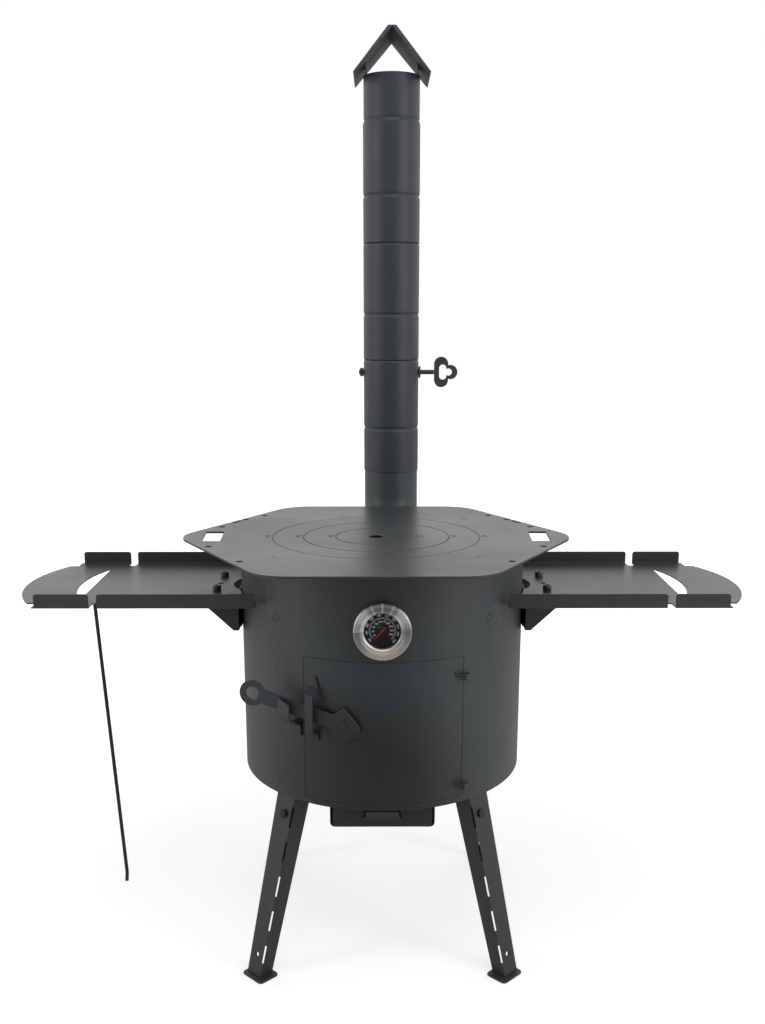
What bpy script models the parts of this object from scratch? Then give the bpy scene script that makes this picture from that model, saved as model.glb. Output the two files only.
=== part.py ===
"""Cauldron stove: a sheet-steel firebox drum on folded legs, with a hob plate and cooking rings, a
firing door with a swing latch, an ash drawer, two side shelves, a thermometer, a chimney and a poker.

Run with: blender --background --python part.py. Lengths are metres, angles degrees, +Z is up and the
door faces -Y. Bearings are measured round the drum from the front, positive to the right.
"""

from math import acos, asin, atan2, cos, degrees, pi, radians, sin, sqrt, tan

import bmesh
import bpy
from mathutils import Matrix, Vector

# Driving sizes of the stove
cooking_height = 0.635
drum_radius = 0.215
drum_bottom = 0.281
hob_reach = 0.304
flue_clearance = 0.104
flue_side_offset = 0.0167
pipe_radius = 0.0480
pipe_length = 0.2637
shelf_drop = 0.074
shelf_reach = 0.545
shelf_half_depth = 0.142
foot_spread = 0.1835

# Fits that several pieces share
weld_gap = 0.0003
pin_gap = 0.0003
slide_gap = 0.0008
cut_over = 0.004

# Firebox drum
drum_sheet = 0.002
drum_segments = 90
knock_out_bearing = 44.6
knock_out_radius = 0.006
knock_out_groove = 0.001
knock_out_depth = 0.0008
floor_sheet = 0.003
floor_inset = 0.0037
ash_opening_half_width = 0.058
ash_opening_half_length = 0.085

# Fire grate
grate_half_width = 0.085
grate_half_length = 0.105
grate_thickness = 0.005
grate_slot_count = 9
grate_slot_width = 0.008
grate_slot_margin = 0.016
grate_corner = 0.012

# Firing door
door_left_bearing = -31.0
door_right_bearing = 32.0
door_sill = 0.009
door_height_share = 0.6031
door_gap = 0.0005
door_segments = 16
stop_overlap_bearing = 3.0
stop_root_bearing = 4.0
stop_sheet = 0.002
stop_end_inset = 0.002
stop_segments = 4

# Door hinges
hinge_bearing = 31.5
hinge_stand_off = 0.007
upper_hinge_inset = 0.0285
lower_hinge_inset = 0.018
hinge_sheet = 0.003
hinge_eye_radius = 0.0058
hinge_pin_radius = 0.0025
hinge_pin_tail = 0.004
hinge_root_near = 0.003
hinge_root_far = 0.018
hinge_root_depth = 0.012

# Swing latch
latch_bearing = -14.3
latch_height_share = 0.5674
latch_spacer = 0.0035
latch_sheet = 0.003
latch_length = 0.138
latch_tilt = 15.2
latch_lift = 12.0
latch_arm_half = 0.0105
latch_ring_radius = 0.019
latch_ring_hole = 0.0096
latch_head_size = 0.0256
latch_head_shares = ((-0.16, -0.94), (-0.98, -0.26), (-0.98, 0.17), (0.22, 1.0))
latch_head_neck_share = 0.70
latch_head_corners = (0.011, 0.0135, 0.0125, 0.003)
rivet_shank_radius = 0.0025
rivet_head_radius = 0.0045
rivet_head_height = 0.002

# Guide strap on the door
strap_bearing = -26.0
strap_width = 0.0125
strap_sheet = 0.003
strap_stand_off = 0.017
strap_foot = 0.0145
strap_foot_slope = 0.009
strap_tip_share = 0.25
strap_below_lever = 0.0085
latch_clearance = 0.0006

# Keeper on the drum
keeper_bearing = -34.7
keeper_width = 0.020
keeper_sheet = 0.003
keeper_clearance = 0.0012
keeper_rest_gap = 0.0008
keeper_drop = 0.017
keeper_foot = 0.014

# Thermometer
gauge_height_share = 0.3617
gauge_bezel_radius = 0.040
gauge_case_radius = 0.036
gauge_bezel_back = 0.0035
gauge_bezel_flare = 0.0015
gauge_bezel_shoulder = 0.0105
gauge_depth = 0.0135
gauge_rim_inset = 0.002
gauge_step_radius = 0.030
gauge_step_drop = 0.0012
gauge_window_radius = 0.0252
gauge_window_drop = 0.0045
gauge_floor = 0.002
gauge_segments = 48
dial_thickness = 0.0006
dial_rim_gap = 0.0004
pointer_length = 0.0185
pointer_tail = 0.006
pointer_hub = 0.0022
pointer_half_width = 0.0012
pointer_thickness = 0.0005
pointer_gap = 0.0005
pointer_rest = 229.0
glass_thickness = 0.0015
probe_radius = 0.003
probe_length = 0.062
probe_hole_gap = 0.0008
probe_nut_half = 0.007
probe_nut_height = 0.005

# Hob plate and cooking rings
hob_thickness = 0.003
hob_corner = 0.064
hob_side_offset = -0.009
hob_hole_radius = 0.005
hob_hole_inset = 0.0135
hob_hole_spread = 0.0575
hook_slot_inset = 0.0085
hook_slot_width = 0.005
hook_nick_width = 0.005
hook_slot_lengths = (0.021, 0.012)
hook_slot_starts = (-0.022, 0.006)
hand_slot_inset = 0.0425
hand_slot_width = 0.0275
hand_slot_half_length = 0.036
hand_slot_taper = 0.003
ring_radii = (0.158, 0.111, 0.062)
ring_kerf = 0.0008
ring_rebate = 0.005
ring_lug_radius = 0.007
ring_lug_out = 0.0035
ring_segments = (96, 72, 48)
lift_hole_radius = 0.0115
locating_tab_bearings = (45, 135, 225, 315)
locating_tab_angle = 4.5
locating_tab_radius = 0.2035
locating_tab_sheet = 0.003
locating_tab_depth = 0.010

# Ash drawer and its housing
drawer_front_y = -0.195
drawer_length = 0.290
drawer_half_width = 0.0715
drawer_sheet = 0.0015
drawer_corner = 0.005
drawer_front_height = 0.0345
drawer_tray_height = 0.026
housing_sheet = 0.0015
housing_side_gap = 0.0025
housing_bend = 0.007
lip_half_width = 0.026
lip_height = 0.0165
lip_top_drop = 0.006
lip_stand_off = 0.009
lip_side_gap = 0.002

# Legs
leg_top_side_share = 0.5884
leg_top_front_share = 0.6581
leg_fold_forward = 0.0145
leg_outer_top = 0.040
leg_outer_foot = 0.029
leg_inner_top = 0.0325
leg_inner_foot = 0.024
leg_sheet = 0.003
leg_slit_count = 5
leg_slit_first_drop = 0.0415
leg_slit_pitch = 0.0512
leg_slit_length = 0.0315
leg_slit_width = 0.0024
leg_hole_height = 0.032
leg_hole_offset = 0.0155
leg_hole_radius = 0.0035
foot_plate_long = 0.044
foot_plate_wide = 0.036
foot_plate_thickness = 0.003
foot_plate_corner = 0.006
bracket_drop = 0.068
bracket_trim = 0.006
leg_bolt_drop = 0.040
leg_bolt_offset = 0.0168
bolt_radius = 0.004
bolt_head_radius = 0.0063
bolt_head_height = 0.0035
bolt_nut_height = 0.0065
bolt_tail = 0.002

# Side shelves
shelf_sheet = 0.002
shelf_flange = 0.021
shelf_drum_gap = 0.002
shelf_flange_start_share = 0.842
shelf_gap_from_end = 0.128
shelf_gap_width = 0.011
shelf_gap_depth = 0.022
shelf_flange_corner = 0.004
shelf_flange_from_end = 0.050
shelf_end_radius = 0.228
shelf_end_half = 0.118
shelf_slit_from_end = 0.077
shelf_slit_width = 0.003
shelf_strip_from_end = 0.046
shelf_finger_half = 0.040
shelf_finger_depth = 0.011
crescent_from_end = 0.1044
crescent_half = 0.099
crescent_bulge = 0.0225
shelf_screw_from_drum = 0.0334
shelf_screw_y = 0.044
shelf_hole_radius = 0.0045

# Shelf brackets and screws
bracket_sheet = 0.0025
bracket_half_width = 0.058
bracket_height = 0.057
bracket_from_drum = 0.063
bracket_top_from_drum = 0.014
bracket_toe = 0.006
screw_radius = 0.004
screw_head_radius = 0.0063
screw_head_height = 0.008
screw_socket_radius = 0.0034
screw_socket_depth = 0.005
screw_nut_radius = 0.0072
screw_nut_height = 0.0065
screw_tail = 0.003

# Flue elbow, chimney pipes and damper
pipe_sheet = 0.0008
pipe_bead_from_end = 0.070
pipe_bead_depth = 0.001
pipe_bead_half = 0.0025
pipe_segments = 40
pipe_base_rise = 0.058
elbow_bend_radius = 0.092
elbow_inside_reach = 0.012
elbow_insertion = 0.045
elbow_steps = 8
elbow_sides_share = 14
damper_drop = 0.0225
damper_disc_radius = 0.0425
damper_disc_thickness = 0.0015
spindle_radius = 0.004
spindle_right_reach = 0.0750
spindle_nut_half = 0.0072
spindle_nut_height = 0.0065
spindle_tail = 0.0012
washer_radius = 0.010
washer_thickness = 0.003
key_thickness = 0.003
key_lobe_radius = 0.0125
key_lobe_spread = 0.014
key_far_lobe = 0.0162
key_window_radius = 0.0063
key_window_near = 0.0028
key_window_spread = 0.0068
key_window_far = 0.0127

# Rain cap
cap_sheet = 0.0022
cap_half_length = 0.064
cap_ridge_half = 0.0065
cap_rise = 0.0642
cap_eave_reach = 0.0627
cap_eave_drop = 0.0043
cap_tab_half = 0.012
cap_shoulder_half = 0.018
cap_tab_insertion = 0.004

# Poker
poker_radius = 0.00275
poker_notch_gap = 0.0016
poker_front_inset = 0.0105
poker_arm = 0.022
poker_bend = 0.0045
poker_length = 0.418
poker_lean = 3.1
poker_tip = 0.012
poker_bend_steps = 4

# Sizes worked out from the ones above
flue_distance = drum_radius + flue_clearance
shelf_height = cooking_height - shelf_drop
pipe_base_height = cooking_height + pipe_base_rise
hand_slot_outer = hob_reach - hand_slot_inset
leg_top_x = drum_radius * leg_top_side_share
leg_top_y = drum_radius * leg_top_front_share
shelf_flange_inner = drum_radius * shelf_flange_start_share
shelf_gap_outer = shelf_reach - shelf_gap_from_end
shelf_gap_inner = shelf_gap_outer - shelf_gap_width
shelf_flange_end = shelf_reach - shelf_flange_from_end
shelf_slit_inner = shelf_reach - shelf_slit_from_end
shelf_strip_reach = shelf_reach - shelf_strip_from_end
crescent_inner = shelf_reach - crescent_from_end
shelf_screw_x = drum_radius + shelf_screw_from_drum
bracket_reach = drum_radius + bracket_from_drum
bracket_top_start = drum_radius + bracket_top_from_drum
floor_underside = drum_bottom + floor_inset
floor_top = floor_underside + floor_sheet
hob_underside = cooking_height - hob_thickness
drum_top = hob_underside - weld_gap
door_low = drum_bottom + door_sill
door_height = (drum_top - drum_bottom) * door_height_share
door_high = door_low + door_height
latch_pivot_height = door_low + door_height * latch_height_share
gauge_height = door_high + (hob_underside - door_high) * gauge_height_share
neck_radius = pipe_radius - pipe_sheet - weld_gap
pipe_pitch = pipe_length - pipe_bead_from_end
flue_top = pipe_base_height + 2 * pipe_pitch + pipe_length
damper_height = pipe_base_height + pipe_pitch - damper_drop
shelf_underside = shelf_height - shelf_sheet
drawer_bottom = drum_bottom - drawer_front_height
hob_apothem = hob_reach * cos(pi / 6)
stove_front = -hob_apothem
stove_back = flue_distance + cap_half_length

dark_coat = (0.045, 0.048, 0.052)
plate_coat = (0.055, 0.057, 0.060)
black_steel = (0.025, 0.026, 0.028)
stainless = (0.62, 0.61, 0.59)


# Scene, collections, materials and parenting


def clear_scene():
    for obj in list(bpy.data.objects):
        bpy.data.objects.remove(obj, do_unlink=True)


def new_collection(name):
    collection = bpy.data.collections.new(name)
    bpy.context.scene.collection.children.link(collection)
    return collection


def finish(obj, colour, roughness, metallic):
    """Gives the object a material of its own."""
    material = bpy.data.materials.new(obj.name + "_finish")
    material.use_nodes = True
    shader = material.node_tree.nodes["Principled BSDF"]
    shader.inputs["Base Color"].default_value = (*colour, 1)
    shader.inputs["Roughness"].default_value = roughness
    shader.inputs["Metallic"].default_value = metallic
    obj.data.materials.clear()
    obj.data.materials.append(material)


def coat(obj, colour=dark_coat):
    finish(obj, colour, 0.55, 0.0)


def pivot(name, location, turn=0.0, parent=None):
    """An empty on a joint's axis or at a piece's own frame, turned about Z."""
    empty = bpy.data.objects.new(name, None)
    stove.objects.link(empty)
    empty.location = location
    empty.rotation_euler.z = radians(turn)
    empty.parent = parent or root
    return empty


def place(obj, parent=None, location=(0, 0, 0), turn=0.0):
    """Puts a piece in the stove's collection, under its parent."""
    stove.objects.link(obj)
    obj.parent = parent or root
    obj.location = location
    obj.rotation_euler.z = radians(turn)
    return obj


def hang(obj, carrier):
    """Puts a piece whose mesh is in stove coordinates under a carrier that isn't turned."""
    return place(obj, carrier, -carrier.location)


def from_bearing(bearing, radius, height=0.0):
    """The point at this bearing and radius from the drum's axis."""
    angle = radians(bearing)
    return Vector((radius * sin(angle), -radius * cos(angle), height))


# Meshes


def solid(name, mesh, smooth=False):
    mesh.name = name
    obj = bpy.data.objects.new(name, mesh)
    if smooth:
        mesh.polygons.foreach_set("use_smooth", [True] * len(mesh.polygons))
    return obj


def mesh_of(work):
    """The mesh held by a bmesh, which is freed."""
    mesh = bpy.data.meshes.new("shape")
    work.to_mesh(mesh)
    work.free()
    return mesh


def block(size, centre):
    work = bmesh.new()
    bmesh.ops.create_cube(work, size=1)
    bmesh.ops.scale(work, vec=size, verts=work.verts)
    bmesh.ops.translate(work, vec=centre, verts=work.verts)
    return mesh_of(work)


def block_between(low, high):
    low = Vector(low)
    high = Vector(high)
    return block(high - low, (low + high) / 2)


def rod(radius, start, end, segments=24):
    """A cylinder between two points."""
    start = Vector(start)
    along = Vector(end) - start
    work = bmesh.new()
    bmesh.ops.create_cone(
        work,
        cap_ends=True,
        segments=segments,
        radius1=radius,
        radius2=radius,
        depth=along.length,
    )
    turn = along.to_track_quat("Z", "Y").to_matrix().to_4x4()
    bmesh.ops.transform(work, matrix=Matrix.Translation(start + along / 2) @ turn, verts=work.verts)
    return mesh_of(work)


def arc(centre, radius, start, end, steps):
    """Points on an arc, both ends counted, angles in degrees from +X."""
    turns = [radians(start + (end - start) * step / steps) for step in range(steps + 1)]
    return [(centre[0] + radius * cos(turn), centre[1] + radius * sin(turn)) for turn in turns]


def circle(centre, radius, steps):
    return arc(centre, radius, 0, 360, steps)[:-1]


def rounded(points, radii, steps=6):
    """A polygon with each corner replaced by an arc; radii is one radius or one for each corner."""
    if not isinstance(radii, (list, tuple)):
        radii = [radii] * len(points)
    result = []
    for index, corner in enumerate(points):
        corner = Vector(corner)
        back = (Vector(points[index - 1]) - corner).normalized()
        ahead = (Vector(points[(index + 1) % len(points)]) - corner).normalized()
        radius = radii[index]
        if not radius:
            result.append(tuple(corner))
            continue
        half = acos(max(-1, min(1, back.dot(ahead)))) / 2
        middle = corner + (back + ahead).normalized() * (radius / sin(half))
        first = corner + back * (radius / tan(half)) - middle
        sweep = first.angle_signed(corner + ahead * (radius / tan(half)) - middle)
        for step in range(steps + 1):
            result.append(tuple(middle + Matrix.Rotation(-sweep * step / steps, 2) @ first))
    return result


def turned_points(points, angle):
    """The same points turned about the origin."""
    turn = Matrix.Rotation(radians(angle), 2)
    return [tuple(turn @ Vector(point)) for point in points]


def flat(loops, thickness):
    """A flat sheet in the XY plane, middle at z = 0; the first loop is its outline, the rest are holes."""
    data = bpy.data.curves.new("outline", "CURVE")
    data.dimensions = "2D"
    data.fill_mode = "BOTH"
    data.extrude = thickness / 2
    for loop in loops:
        spline = data.splines.new("POLY")
        spline.points.add(len(loop) - 1)
        for point, (x, y) in zip(spline.points, loop):
            point.co = (x, y, 0, 1)
        spline.use_cyclic_u = True
    return solid_from_curve(data)


def solid_from_curve(data):
    """The closed mesh that a curve makes, its caps welded on."""
    guide = bpy.data.objects.new("guide", data)
    bpy.context.scene.collection.objects.link(guide)
    graph = bpy.context.evaluated_depsgraph_get()
    mesh = bpy.data.meshes.new_from_object(guide.evaluated_get(graph))
    bpy.data.objects.remove(guide, do_unlink=True)
    work = bmesh.new()
    work.from_mesh(mesh)
    bmesh.ops.remove_doubles(work, verts=work.verts, dist=0.000002)
    bmesh.ops.recalc_face_normals(work, faces=work.faces)
    work.to_mesh(mesh)
    work.free()
    return mesh


def wire(points, radius):
    """A round bar along these points, with closed ends."""
    data = bpy.data.curves.new("bar", "CURVE")
    data.dimensions = "3D"
    data.bevel_depth = radius
    data.bevel_resolution = 2
    data.use_fill_caps = True
    spline = data.splines.new("POLY")
    spline.points.add(len(points) - 1)
    for point, place_at in zip(spline.points, points):
        point.co = (*place_at, 1)
    return solid_from_curve(data)


def moved(mesh, offset):
    mesh.transform(Matrix.Translation(offset))
    return mesh


def spun(mesh, angle, axis):
    mesh.transform(Matrix.Rotation(radians(angle), 4, axis))
    return mesh


def upright(mesh):
    """Stands a flat sheet up: its Y becomes Z and its thickness runs along Y."""
    return spun(mesh, 90, "X")


def sheet(rows, thickness, outward):
    """An open surface through rows of points, thickened away from the outward direction."""
    work = bmesh.new()
    grid = [[work.verts.new(point) for point in row] for row in rows]
    for lower, upper in zip(grid, grid[1:]):
        for index in range(len(lower) - 1):
            work.faces.new((lower[index], lower[index + 1], upper[index + 1], upper[index]))
    work.normal_update()
    if sum((face.normal.dot(Vector(outward)) for face in work.faces), 0.0) < 0:
        bmesh.ops.reverse_faces(work, faces=work.faces)
    obj = bpy.data.objects.new("sheet", mesh_of(work))
    thicken = obj.modifiers.new("thickness", "SOLIDIFY")
    thicken.thickness = thickness
    thicken.offset = -1
    thicken.use_even_offset = True
    return obj


def baked(obj):
    """The evaluated mesh of a working object, which is removed."""
    bpy.context.scene.collection.objects.link(obj)
    graph = bpy.context.evaluated_depsgraph_get()
    mesh = bpy.data.meshes.new_from_object(obj.evaluated_get(graph))
    bpy.data.objects.remove(obj, do_unlink=True)
    return mesh


def lathe(name, profile, segments):
    """A turned piece: the closed profile's (radius, height) points run down its outer side."""
    mesh = bpy.data.meshes.new(name)
    count = len(profile)
    edges = [(index, (index + 1) % count) for index in range(count)]
    if profile[0][0] == 0 and profile[-1][0] == 0:
        edges.pop()
    mesh.from_pydata([(radius, 0, height) for radius, height in profile], edges, [])
    obj = bpy.data.objects.new(name, mesh)
    screw = obj.modifiers.new("turn", "SCREW")
    screw.steps = segments
    screw.render_steps = segments
    screw.use_merge_vertices = True
    screw.merge_threshold = 0.000005
    screw.use_smooth_shade = True
    return obj


def carve(obj, mesh, operation="DIFFERENCE"):
    """Cuts a mesh, in the object's own coordinates, out of an object, or joins it on."""
    tool = bpy.data.objects.new(obj.name + "_tool", mesh)
    cutters.objects.link(tool)
    tool.parent = obj
    tool.hide_render = True
    tool.display_type = "WIRE"
    boolean = obj.modifiers.new(operation.lower(), "BOOLEAN")
    boolean.object = tool
    boolean.operation = operation
    boolean.solver = "EXACT"


def merged(meshes):
    """One mesh holding several closed bodies that don't touch, to cut them all at once."""
    work = bmesh.new()
    for mesh in meshes:
        work.from_mesh(mesh)
        bpy.data.meshes.remove(mesh)
    return mesh_of(work)


def sector(inner, outer, start, end, steps):
    """The outline between two radii and two bearings."""
    near = arc((0, 0), outer, start - 90, end - 90, steps)
    far = arc((0, 0), inner, end - 90, start - 90, steps)
    return near + far


def slab(outline, low, high):
    """An outline raised from one height to another."""
    return moved(flat([outline], high - low), (0, 0, (low + high) / 2))


# Firebox


def firebox_drum():
    inner = drum_radius - drum_sheet
    profile = [
        (drum_radius, drum_top),
        (drum_radius, drum_bottom),
        (inner, drum_bottom),
        (inner, drum_top),
    ]
    drum = place(lathe("drum_shell", profile, drum_segments))
    opening = sector(
        inner - cut_over, drum_radius + cut_over, door_left_bearing, door_right_bearing, door_segments
    )
    carve(drum, slab(opening, door_low, door_high))
    stem = rod(
        probe_radius + probe_hole_gap,
        (0, -drum_radius - cut_over, gauge_height),
        (0, -inner + 2 * cut_over, gauge_height),
    )
    carve(drum, stem)
    flue = rod(
        neck_radius + weld_gap,
        (flue_side_offset, 0, elbow_height()),
        (flue_side_offset, drum_radius + cut_over, elbow_height()),
        pipe_segments,
    )
    carve(drum, flue)
    carve(drum, merged([knock_out_cutter(side * knock_out_bearing) for side in (-1, 1)]))
    coat(drum)


def knock_out_cutter(bearing):
    """A ring that leaves a round groove in the drum's outer face."""
    groove = baked(
        lathe(
            "groove",
            [
                (knock_out_radius, cut_over),
                (knock_out_radius, -knock_out_depth),
                (knock_out_radius - knock_out_groove, -knock_out_depth),
                (knock_out_radius - knock_out_groove, cut_over),
            ],
            20,
        )
    )
    spun(groove, 90, "X")
    spun(groove, bearing, "Z")
    return moved(groove, from_bearing(bearing, drum_radius, gauge_height))


def drum_floor_plate():
    rim = circle((0, 0), drum_radius - drum_sheet - 2 * weld_gap, drum_segments)
    opening = rounded(
        rectangle(ash_opening_half_width, ash_opening_half_length), grate_corner / 2, 3
    )
    mesh = moved(flat([rim, opening], floor_sheet), (0, 0, (floor_underside + floor_top) / 2))
    coat(place(solid("drum_floor", mesh)), black_steel)


def rectangle(half_width, half_length, centre=(0, 0)):
    x, y = centre
    return [
        (x - half_width, y - half_length),
        (x + half_width, y - half_length),
        (x + half_width, y + half_length),
        (x - half_width, y + half_length),
    ]


def fire_grate():
    loops = [rounded(rectangle(grate_half_width, grate_half_length), grate_corner, 3)]
    span = 2 * (grate_half_length - grate_slot_margin) - grate_slot_width
    for index in range(grate_slot_count):
        y = span * (index / (grate_slot_count - 1) - 1 / 2)
        slot = rectangle(grate_half_width - grate_slot_margin, grate_slot_width / 2, (0, y))
        loops.append(rounded(slot, grate_slot_width * 0.49, 3))
    low = floor_top + weld_gap
    mesh = moved(flat(loops, grate_thickness), (0, 0, low + grate_thickness / 2))
    finish(place(solid("fire_grate", mesh)), black_steel, 0.8, 0.3)


# Firing door, hinges and latch


def curved_panel(radius, start, end, low, high, thickness, steps):
    """A piece of cylinder wall between two bearings, thickened inwards."""
    rows = [
        [from_bearing(start + (end - start) * step / steps, radius, height) for step in range(steps + 1)]
        for height in (low, high)
    ]
    return sheet(rows, thickness, (0, -1, 0))


def firing_door():
    gap = degrees(door_gap / drum_radius)
    panel = curved_panel(
        drum_radius,
        door_left_bearing + gap,
        door_right_bearing - gap,
        door_low + door_gap,
        door_high - door_gap,
        drum_sheet,
        door_segments,
    )
    door = hang(solid("door_panel", baked(panel), smooth=True), door_pivot)
    coat(door)


def door_stop():
    strip = curved_panel(
        drum_radius - drum_sheet - weld_gap,
        door_left_bearing - stop_root_bearing,
        door_left_bearing + stop_overlap_bearing,
        door_low - stop_end_inset,
        door_high + stop_end_inset,
        stop_sheet,
        stop_segments,
    )
    coat(place(solid("door_stop_strip", baked(strip))), black_steel)


def hinge_outline(side):
    """An eye round the hinge pin with a root that runs back to the wall, on one side of the seam."""
    tangent = degrees(acos(hinge_root_near / hinge_eye_radius))
    eye = arc((0, 0), hinge_eye_radius, tangent, 300, 12)
    root_edge = [(hinge_root_far, hinge_root_depth), (hinge_root_near, hinge_root_depth)]
    return [(side * x, y) for x, y in eye + root_edge]


def drum_in_frame(frame_bearing, frame_radius, low, high):
    """The drum's outer cylinder, as seen from a frame on its wall, to trim what is welded on."""
    cylinder = rod(drum_radius + weld_gap, (0, 0, low), (0, 0, high), drum_segments)
    spun(cylinder, -frame_bearing, "Z")
    return moved(cylinder, (0, frame_radius, 0))


def hinges():
    reach = drum_radius + hinge_stand_off
    heights = {"upper": door_high - upper_hinge_inset, "lower": door_low + lower_hinge_inset}
    for name, height in heights.items():
        fixed = pivot("hinge_frame_" + name, from_bearing(hinge_bearing, reach, height), hinge_bearing)
        eye = circle((0, 0), hinge_pin_radius + pin_gap, 16)
        lug = place(solid("hinge_lug_" + name, flat([hinge_outline(1), eye], hinge_sheet)), fixed)
        carve(lug, drum_in_frame(hinge_bearing, reach, -cut_over, cut_over))
        coat(lug)
        tab = solid("hinge_tab_" + name, flat([hinge_outline(-1)], hinge_sheet))
        lift = hinge_sheet + weld_gap
        place(tab, door_pivot, (0, 0, height + lift), hinge_bearing)
        carve(tab, drum_in_frame(hinge_bearing, reach, -cut_over, cut_over))
        pin_end = -hinge_sheet / 2 - weld_gap - hinge_sheet - hinge_pin_tail
        carve(tab, rod(hinge_pin_radius, (0, 0, 0), (0, 0, pin_end), 16), "UNION")
        coat(tab)


def lever_edge(distance, tilt, side):
    """Height of the lever's upper (1) or lower (-1) edge, this far along the door from its pivot."""
    return latch_pivot_height + distance * tan(radians(tilt)) + side * latch_arm_half / cos(radians(tilt))


def lever_crossing(bearing, half_width):
    """Where the lever crosses a frame on the wall: distances from the pivot, and its greatest stand-off."""
    swing = radians(latch_bearing - bearing)
    plane = drum_radius + latch_spacer + latch_sheet
    stand_off = plane / cos(swing) + half_width * tan(swing) - drum_radius
    middle = plane * tan(swing)
    return middle - half_width / cos(swing), middle + half_width / cos(swing), stand_off


def latch_lever():
    head = [(a * latch_head_size, b * latch_head_size) for a, b in latch_head_shares]
    neck = latch_head_neck_share * latch_head_size
    outline = [(neck, -latch_arm_half)] + head + [(neck, latch_arm_half)]
    outline = rounded(outline, [0, *latch_head_corners, 0], 5)
    open_angle = degrees(pi) - degrees(atan2(latch_arm_half, sqrt(latch_ring_radius**2 - latch_arm_half**2)))
    ring = arc((latch_length, 0), latch_ring_radius, open_angle, -open_angle, 28)
    body = outline + ring
    hole = circle((latch_length, 0), latch_ring_hole, 24)
    pivot_hole = circle((0, 0), rivet_shank_radius + pin_gap, 16)
    loops = [
        turned_points([(-x, y) for x, y in loop], -latch_tilt) for loop in (body, hole, pivot_hole)
    ]
    lever = place(solid("latch_lever", upright(flat(loops, latch_sheet))), latch_pivot)
    coat(lever)


def latch_rivet():
    back = latch_sheet / 2 + latch_spacer - weld_gap
    front = -latch_sheet / 2 - pin_gap
    shank_end = front - rivet_head_height / 2
    rivet = solid("latch_rivet", rod(rivet_shank_radius, (0, back, 0), (0, shank_end, 0), 16))
    place(rivet, latch_pivot)
    head = rod(rivet_head_radius, (0, front, 0), (0, front - rivet_head_height, 0), 20)
    carve(rivet, head, "UNION")
    coat(rivet)


def strip_along(profile, half_width, thickness, shares=None):
    """A strip of sheet whose (stand-off, height) profile runs up it, in a frame on the wall."""
    shares = shares or [1] * len(profile)
    rows = [
        [(-half_width * share, -stand_off, height), (half_width * share, -stand_off, height)]
        for (stand_off, height), share in zip(profile, shares)
    ]
    return sheet(rows, thickness, (0, -1, 0))


def guide_strap():
    near, far, _ = lever_crossing(strap_bearing, strap_width / 2)
    outer = strap_stand_off + strap_sheet
    foot = strap_sheet + weld_gap
    top = lever_edge(far, latch_tilt + latch_lift, 1) + latch_clearance + strap_sheet
    bottom = lever_edge(near, latch_tilt, -1) - strap_below_lever - strap_sheet
    profile = [
        (foot, bottom - strap_foot_slope - strap_foot / 2),
        (foot, bottom - strap_foot_slope),
        (outer, bottom),
        (outer, top),
        (foot, top + strap_foot_slope),
        (foot, top + strap_foot_slope + strap_foot),
    ]
    shares = [1, 1, 1, 1, 1, strap_tip_share]
    mesh = baked(strip_along(profile, strap_width / 2, strap_sheet, shares))
    strap = solid("latch_guide_strap", mesh)
    frame = from_bearing(strap_bearing, drum_radius) - door_pivot.location
    place(strap, door_pivot, (frame.x, frame.y, 0), strap_bearing)
    coat(strap)


def latch_keeper():
    near, far, stand_off = lever_crossing(keeper_bearing, keeper_width / 2)
    outer = stand_off + keeper_clearance + keeper_sheet
    foot = keeper_sheet + weld_gap
    rest = lever_edge(near, latch_tilt, -1) - keeper_rest_gap - keeper_sheet
    top = lever_edge(far, latch_tilt + latch_lift, -1) - latch_clearance
    low_top = lever_edge(near, latch_tilt + latch_lift, -1) - latch_clearance
    profile = [
        (foot, rest - keeper_drop - keeper_foot),
        (foot, rest - keeper_drop),
        (outer, rest),
        (outer, top),
    ]
    mesh = baked(strip_along(profile, keeper_width / 2, keeper_sheet))
    keeper = solid("latch_keeper", mesh)
    place(keeper, root, from_bearing(keeper_bearing, drum_radius), keeper_bearing)
    slope = [
        (-keeper_width / 2 - cut_over, top),
        (keeper_width / 2 + cut_over, low_top),
        (keeper_width / 2 + cut_over, top + cut_over),
        (-keeper_width / 2 - cut_over, top + cut_over),
    ]
    cutter = moved(upright(flat([slope], 4 * keeper_sheet)), (0, -outer, 0))
    carve(keeper, cutter)
    coat(keeper)


# Thermometer: its frame looks out of the drum along its own +Z


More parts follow.
